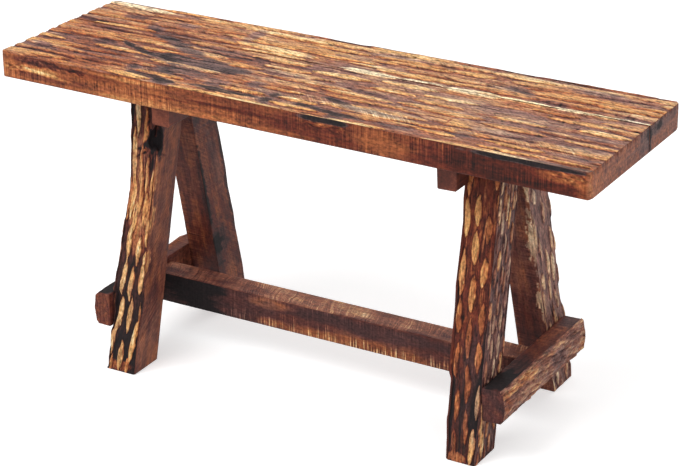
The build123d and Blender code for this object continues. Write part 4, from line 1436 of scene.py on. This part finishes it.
@dataclass(frozen=True)
class Stain:
    """Torched, brushed and oiled wood: the timber's own marks say how light, warm and burnt it is."""
    name: str
    fibre: float = 0.16          # strength of the fibres in the lightness
    saw: float = 0.34            # strength of the saw marks
    layer: float = 0.12          # strength of the growth layers on sawn faces
    detail: float = 1.15         # strength of the finest fleck
    rim_shade: float = 0.12            # how dark the painted shade in the groove round an island is
    bare: float = 0.75           # share of the burning that the islands are free of
    shade: float = 0.24          # how much darker an island's slopes are than its crown
    splinter: float = 0.14       # lightness of fine splinters
    split: float = 0.18          # darkness of fine splits
    saw_streak: float = 0.55     # lightness of saw streaks
    end_grain: float = 0.4       # strength of the rings on the ends
    cloud: float = 0.15          # strength of broad clouds in the lightness
    scorched: tuple = rgb(52, 38, 38)
    burnt: tuple = rgb(26, 22, 24)
    roughness: float = 0.52

    def material(self) -> bpy.types.Material:
        """Makes the material once and hands out the same one again."""
        found = bpy.data.materials.get(self.name)
        return found or self._make()

    def _make(self) -> bpy.types.Material:
        """Colour from two ramps by lightness, mixed by warmth, then burning; fibres and saw marks as relief.

        An island begins where its height, unsettled by the fibres, passes a quarter; painted shade lies just
        outside, in the groove at its foot.
        """
        g = Graph(bpy.data.materials.new(self.name))
        grain = g.attribute("grain")
        light, warm, char = g.parts(g.attribute("mark"))
        crest, isle_light, isle_warm = g.parts(g.attribute("isle"))
        hewn, cap, streak = g.parts(g.attribute("face"))
        fibres = g.streaks(grain, (24, 230, 230), 4.0, 0.6, 0.4)
        threads = g.streaks(grain, (90, 320, 320), 2.0, 0.6)
        speck = g.streaks(grain, (260, 330, 330), 1.0)
        splits = 1 - g.streaks(grain, (17, 260, 260), 3.0, 0.6, 0.8).ease(0.33, 0.38)
        splinters = g.streaks(grain, (24, 280, 280), 3.0, 0.6, 0.5).ease(0.61, 0.67)
        blotch = g.streaks(grain, (40, 90, 90), 3.0)
        saw = g.streaks(grain, (520, 12, 12), 2.0, 0.6, 0.2)
        sawing = g.streaks(grain, (9, 40, 40), 2.0).ease(0.4, 0.62)
        layers = g.streaks(grain, (9, 150, 150), 3.0, 0.6)
        ends = g.streaks(grain, (4, 330, 70), 3.0, 0.65)
        sawn, side = 1 - hewn, 1 - cap
        height = crest + ((fibres - 0.5) * 0.9 + (threads - 0.5) * 0.5) * crest.ease(0.0, 0.12)
        isle = height.ease(0.25, 0.38)
        # painted shade in the groove just outside each island
        rim_shade = height.ease(0.02, 0.12) * (1 - height.ease(0.2, 0.3))
        slope = (1 - height.ease(0.3, 0.95)) * self.shade
        marked = light + (isle_light - slope - light) * isle - rim_shade * self.rim_shade
        level = (marked + (fibres - 0.5) * (self.fibre * 2.0) * hewn
                 + (splinters * self.splinter - splits * self.split) * hewn
                 + ((saw - 0.5) * (sawing * 0.8 + 0.2) * self.saw + (layers - 0.5) * self.layer) * sawn * side
                 + saw.ease(0.52, 0.64) * streak * self.saw_streak + (ends - 0.5) * self.end_grain * cap
                 + (blotch - 0.5) * self.cloud)
        hue = warm + (isle_warm - warm) * isle + (blotch - 0.5) * 0.5
        wood = g.blend(hue.ease(0.0, 1.0), g.ramp(level, GREYED), g.ramp(level, GOLDEN))
        soot = (char * (1 - isle * self.bare) + (fibres - 0.5) * char.ease(0.02, 0.3)).ease(0.2, 0.8)
        burning = g.blend(soot.ease(0.45, 1.0), self.scorched, self.burnt)
        fine = ((threads - 0.5) * (2.0 - sawn * 0.7) + (fibres - 0.5) * hewn + (speck - 0.5) * 1.3
                + (saw - 0.5) * sawn * side * (sawing * 0.7 + 0.3) * (self.saw * 3.0))
        colour = g.blend(1.0, g.blend(soot * 0.94, wood, burning), fine * self.detail + 1.0, "MULTIPLY")
        relief = (fibres * 0.5 + threads * 0.4 + isle * 0.25) * hewn + (saw * 0.3 + threads * 0.15) * sawn
        rough = (self.roughness + 0.06) + (threads - 0.5) * 0.3 + soot * 0.12 - level * 0.06
        return g.surface(colour, rough, {"Specular IOR Level": 0.19, "Normal": g.bump(relief, 0.0012, 0.8)})


@dataclass(frozen=True)
class SawnBlock:
    """Plain sawn and stained block whose grain runs along Y; its front end is painted lighter, as if lit
    while the sides lie in shade.
    """
    name: str
    front: float                 # y of the end, in metres
    painted_end_light: float               # painted light: what the front end adds to the lightness
    dark: tuple = rgb(46, 24, 22)
    middle: tuple = rgb(112, 56, 42)
    pale: tuple = rgb(170, 96, 70)

    def material(self) -> bpy.types.Material:
        """Fibres along Y, saw marks across them, and painted light on the front end."""
        g = Graph(bpy.data.materials.new(self.name))
        place = g.place()
        fibres = g.streaks(place, (320, 16, 320), 4.0, 0.6)
        saw = g.streaks(place, (20, 330, 20), 3.0)
        blotch = g.streaks(place, (55, 55, 55), 3.0)
        y = g.parts(place)[1]
        # painted light: the front end is lightened as if lit, beside sides that lie in shade
        end = y.ease(self.front + 0.0012, self.front + 0.0002)
        level = (fibres * 0.4 + saw * 0.2 + blotch * 0.4 - 0.5) * 1.7 + 0.34 + end * self.painted_end_light
        colour = g.ramp(level, ((0.15, self.dark), (0.5, self.middle), (0.85, self.pale)))
        normal = g.bump(saw * 0.4 + fibres * 0.4, 0.0008, 0.7)
        return g.surface(colour, fibres * 0.2 + 0.5, {"Specular IOR Level": 0.3, "Normal": normal})


@dataclass(frozen=True)
class Hardwood:
    """Bare pale hardwood of the dowels and tenons."""
    name: str

    def material(self) -> bpy.types.Material:
        """Pale brown with a fine fleck."""
        g = Graph(bpy.data.materials.new(self.name))
        fleck = g.streaks(g.place(), (300, 300, 300), 3.0)
        colour = g.ramp(fleck, ((0.3, rgb(168, 128, 84)), (0.7, rgb(206, 170, 122))))
        return g.surface(colour, fleck * 0.2 + 0.5, {"Normal": g.bump(fleck, 0.0004)})


@dataclass(frozen=True)
class Zinc:
    """Zinc plating of the screws."""
    name: str

    def material(self) -> bpy.types.Material:
        """Dull grey metal, a little cloudy."""
        g = Graph(bpy.data.materials.new(self.name))
        cloud = g.streaks(g.place(), (500, 500, 500), 3.0)
        colour = g.ramp(cloud, ((0.3, rgb(150, 150, 152)), (0.7, rgb(196, 196, 198))))
        return g.surface(colour, cloud * 0.25 + 0.3, {"Metallic": 1.0})


# ------------------------------------------------------------------ studio
@dataclass
class Studio:
    """Pale floor, soft light, white surroundings and the camera."""
    eye: Triple = (1588.4, -2660.3, 1590.9)
    yaw: float = 30.586          # degrees to the left of +Y
    pitch: float = 23.883        # degrees down
    roll: float = -0.782
    focal_px: float = 2379.67    # focal length, and the view's width in the same unit
    frame_px: float = 679.0
    sensor: float = 36.0
    paint: float = 0.8           # grey of the floor
    glow: float = 0.5            # what the floor adds of its own where it is seen
    sky: float = 0.5             # strength of the surroundings as a light
    aim: Triple = (0.0, 0.0, 0.3)            # what the lamps look at, in metres
    lamps: tuple[tuple[str, Triple, float, float], ...] = (       # name, place, width in metres, watts
        ("key", (-1.2, -1.6, 2.9), 2.2, 62.0),
        ("fill", (2.4, -1.4, 1.5), 1.8, 16.0),
        ("back", (0.4, 2.4, 2.2), 2.0, 20.0))

    @staticmethod
    def turned(name: str, data: bpy.types.ID, axes: tuple[Array, ...], place: Array) -> bpy.types.Object:
        """Object at a place whose own X, Y and Z lie along three directions."""
        made = new_object(name, data)
        turn = np.eye(4)
        turn[:3] = np.stack([*axes, place], 1)
        made.matrix_world = Matrix(turn.tolist())
        return made

    def camera(self) -> None:
        """Camera that looks along (-sin yaw cos pitch, cos yaw cos pitch, -sin pitch), rolled a little."""
        yaw, pitch, roll = (math.radians(v) for v in (self.yaw, self.pitch, self.roll))
        look = np.array([-math.sin(yaw) * math.cos(pitch), math.cos(yaw) * math.cos(pitch), -math.sin(pitch)])
        right = np.array([math.cos(yaw), math.sin(yaw), 0.0])
        up = np.cross(right, look)
        c, k = math.cos(roll), math.sin(roll)
        right, up = c * right + k * up, c * up - k * right
        data = bpy.data.cameras.new("camera")
        data.sensor_width = self.sensor
        data.sensor_fit = "HORIZONTAL"
        data.lens = self.focal_px * self.sensor / self.frame_px
        data.clip_end = 100.0
        place = np.array(self.eye) * MM
        bpy.context.scene.camera = self.turned("camera", data, (right, up, -look), place)

    def floor(self) -> None:
        """Wide pale floor that keeps the shadow and looks white elsewhere."""
        half, z = 9.0, -0.0004
        corners = [(-half, -half, z), (half, -half, z), (half, half, z), (-half, half, z)]
        mesh = bpy.data.meshes.new("floor")
        mesh.from_pydata(corners, [], [(0, 1, 2, 3)])
        floor = new_object("floor", mesh)
        g = Graph(bpy.data.materials.new("pale_floor"))
        seen = g.seen()
        paint = g.node("ShaderNodeBsdfDiffuse", {}, {"Color": (self.paint, self.paint, self.paint, 1.0)})
        glow = g.node("ShaderNodeEmission", {}, {"Color": (1, 1, 1, 1), "Strength": seen * self.glow})
        mesh.materials.append(g.end("ShaderNodeAddShader", {0: paint.outputs[0], 1: glow.outputs[0]}))

    def world(self) -> None:
        """Even grey light all round, seen as white by the camera and in reflections."""
        g = Graph(bpy.data.worlds.new("soft_white"), "ShaderNodeOutputWorld")
        strength = g.node("ShaderNodeMapRange", {}, {"Value": g.seen(), "To Min": self.sky, "To Max": 1.0})
        bpy.context.scene.world = g.end("ShaderNodeBackground", {"Color": (1.0, 1.0, 1.0, 1.0),
                                                                 "Strength": strength.outputs[0]})

    def light(self) -> None:
        """Large soft lamps that look at the middle of the bench."""
        for name, place, size, power in self.lamps:
            data = bpy.data.lights.new(name, "AREA")
            data.shape, data.size, data.energy = "DISK", size, power
            ray = np.array(self.aim) - np.array(place)
            z = -ray / np.linalg.norm(ray)
            x = np.cross([0, 0, 1], z)
            x /= np.linalg.norm(x)
            self.turned(name, data, (x, np.cross(z, x), z), np.array(place))

    def build(self) -> None:
        """Sets up everything that isn't the bench."""
        bpy.context.scene.view_settings.view_transform = "Standard"
        self.camera()
        self.floor()
        self.world()
        self.light()


# ------------------------------------------------------------------ the bench
LEFT_BAR_TOP = patches_at(
    (-116, 14, 36, 34, -0.14, -0.3, 0.9), (60, 12, 60, 20, 0.03, 0.0, 0.1),
)

RIGHT_BAR_TOP = patches_at(
    (-102, 14, 40, 34, -0.13, -0.3, 0.92), (-46, 16, 36, 18, -0.03, -0.2, 0.5), (40, 14, 50, 14, 0.06, 0.1),
    (105, 20, 22, 18, -0.02, -0.4, 0.4),
)

RIGHT_BAR_BARK = patches_at(
    (40, 24, 34, 16, -0.14, -0.3, 0.3), (-70, 40, 80, 8, 0.1, 0.35), (-120, 20, 12, 26, -0.04, 0.3),
    (100, 30, 34, 20, 0.0, -0.1), (118, 22, 12, 30, 0.1, 0.2),
)

RAIL_TOP = patches_at(
    (-215, 0, 80, 34, -0.1, 0.0), (60, 5, 150, 16, 0.06, 0.0), (0, -20, 300, 5, -0.08, 0.0),
)

RAIL_FRONT = patches_at(
    (-245, 80, 92, 60, -0.09, -0.2, 0.72), (-170, 78, 100, 60, -0.05, -0.2, 0.26),
    (60, 64, 170, 11, 0.1, 0.3), (-90, 66, 30, 8, 0.08, 0.2), (-92, 94, 46, 9, 0.2, 0.4),
    (60, 92, 200, 12, -0.05, -0.3, 0.2),
)


@dataclass
class Bench:
    """All the pieces of the bench."""
    seat_stain: Stain = Stain("hewn_seat", saw=0.55, fibre=0.13, detail=1.3, bare=0.25, shade=0.16,
                              scorched=rgb(94, 83, 82), burnt=rgb(34, 29, 31))
    leg_stain: Stain = Stain("carved_leg", saw=0.3, layer=0.2)
    rail_stain: Stain = Stain("sawn_rail", saw=0.4)

    def seat(self) -> list[bpy.types.Object]:
        """The two planks."""
        front = Plank("seat_front_plank", "seat_wood", 11, front_left=FRONT_LEFT, front_right=FRONT_RIGHT,
                      back=SEAM - SEAM_GAP / 2, outer=-1)
        back = Plank("seat_back_plank", "seat_wood", 12, front_left=SEAM + SEAM_GAP / 2,
                     front_right=SEAM + SEAM_GAP / 2, back=BACK_EDGE, outer=1)
        return [plank.build(self.seat_stain) for plank in (front, back)]

    def legs(self) -> list[bpy.types.Object]:
        """The four legs."""
        legs = (
            KnottyLeg("left_front_leg", "leg_wood", 31, stance=LEFT, side=Side.FRONT, face_bark=CREAM,
                      sawn_light=0.33, sawn_warm=0.55, patches=LEFT_FRONT_PATCHES, laps=LEFT_FRONT_LAPS,
                      left_bow=LEFT_FRONT_BOW),
            Leg("left_back_leg", "leg_wood", 33, stance=LEFT, side=Side.BACK, sawn_light=0.27, sawn_warm=0.52,
                patches=LEFT_BACK_PATCHES, inner_patches=LEFT_BACK_INNER, bark_bow=LEFT_BACK_BOW),
            Leg("right_front_leg", "leg_wood", 35, stance=RIGHT, side=Side.FRONT, face_bark=ORANGE,
                sawn_light=0.24, sawn_warm=0.7, left_bow=RIGHT_FRONT_BOW),
            Leg("right_back_leg", "leg_wood", 37, stance=RIGHT, side=Side.BACK, face_bark=BEIGE,
                outer_bark=PALE, sawn_light=0.31, sawn_warm=0.5, inner_patches=RIGHT_BACK_INNER,
                inner_laps=RIGHT_BACK_LAPS, lap_light=0.75, lap_warm=0.22, bark_bow=RIGHT_BACK_BOW),
        )
        return [leg.build(self.leg_stain) for leg in legs]

    def crossbars(self) -> list[bpy.types.Object]:
        """The two low rails across the legs."""
        bars = (
            Crossbar("left_crossbar", "rail_wood", 41, length=268.0, stance=LEFT, light=0.27,
                     patches=LEFT_BAR_TOP),
            Crossbar("right_crossbar", "rail_wood", 43, length=257.0, stance=RIGHT, thickness=35.0,
                     bottom=59.0, height=49.0, front=131.0, back=126.0, light=0.26, end_shade=0.045,
                     patches=RIGHT_BAR_TOP, bark_patches=RIGHT_BAR_BARK),
        )
        return [bar.build(self.rail_stain) for bar in bars]

    def stretcher(self) -> bpy.types.Object:
        """The long low rail."""
        rail = Stretcher("stretcher", "rail_wood", 51, patches_top=RAIL_TOP, patches_front=RAIL_FRONT)
        return rail.build(self.rail_stain)

    def fittings(self) -> None:
        """Finishes of the pieces that keep the frame's own meshes."""
        hard, zinc = Hardwood("bare_hardwood").material(), Zinc("zinc").material()
        # each cleat gets the y of its front end and the painted light on that end
        kinds = {"left_cleat": SawnBlock("left_cleat_stain", -0.086, 0.24).material(),
                 "right_cleat": SawnBlock("right_cleat_stain", -0.098, 0.12).material(),
                 "dowels": hard, "tenons": hard, "screws": zinc}
        for name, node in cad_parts.items():
            kind = kinds.get(name) or kinds.get(name.rsplit("_", 1)[-1])
            if kind is not None:
                node.data.materials.clear()
                node.data.materials.append(kind)
                log.info("%s: %s", name, kind.name)


def main() -> None:
    """Builds the bench and its studio."""
    bench = Bench()
    bench.seat()
    bench.legs()
    bench.crossbars()
    bench.stretcher()
    bench.fittings()
    Studio().build()


if __name__ == "__main__":
    main()
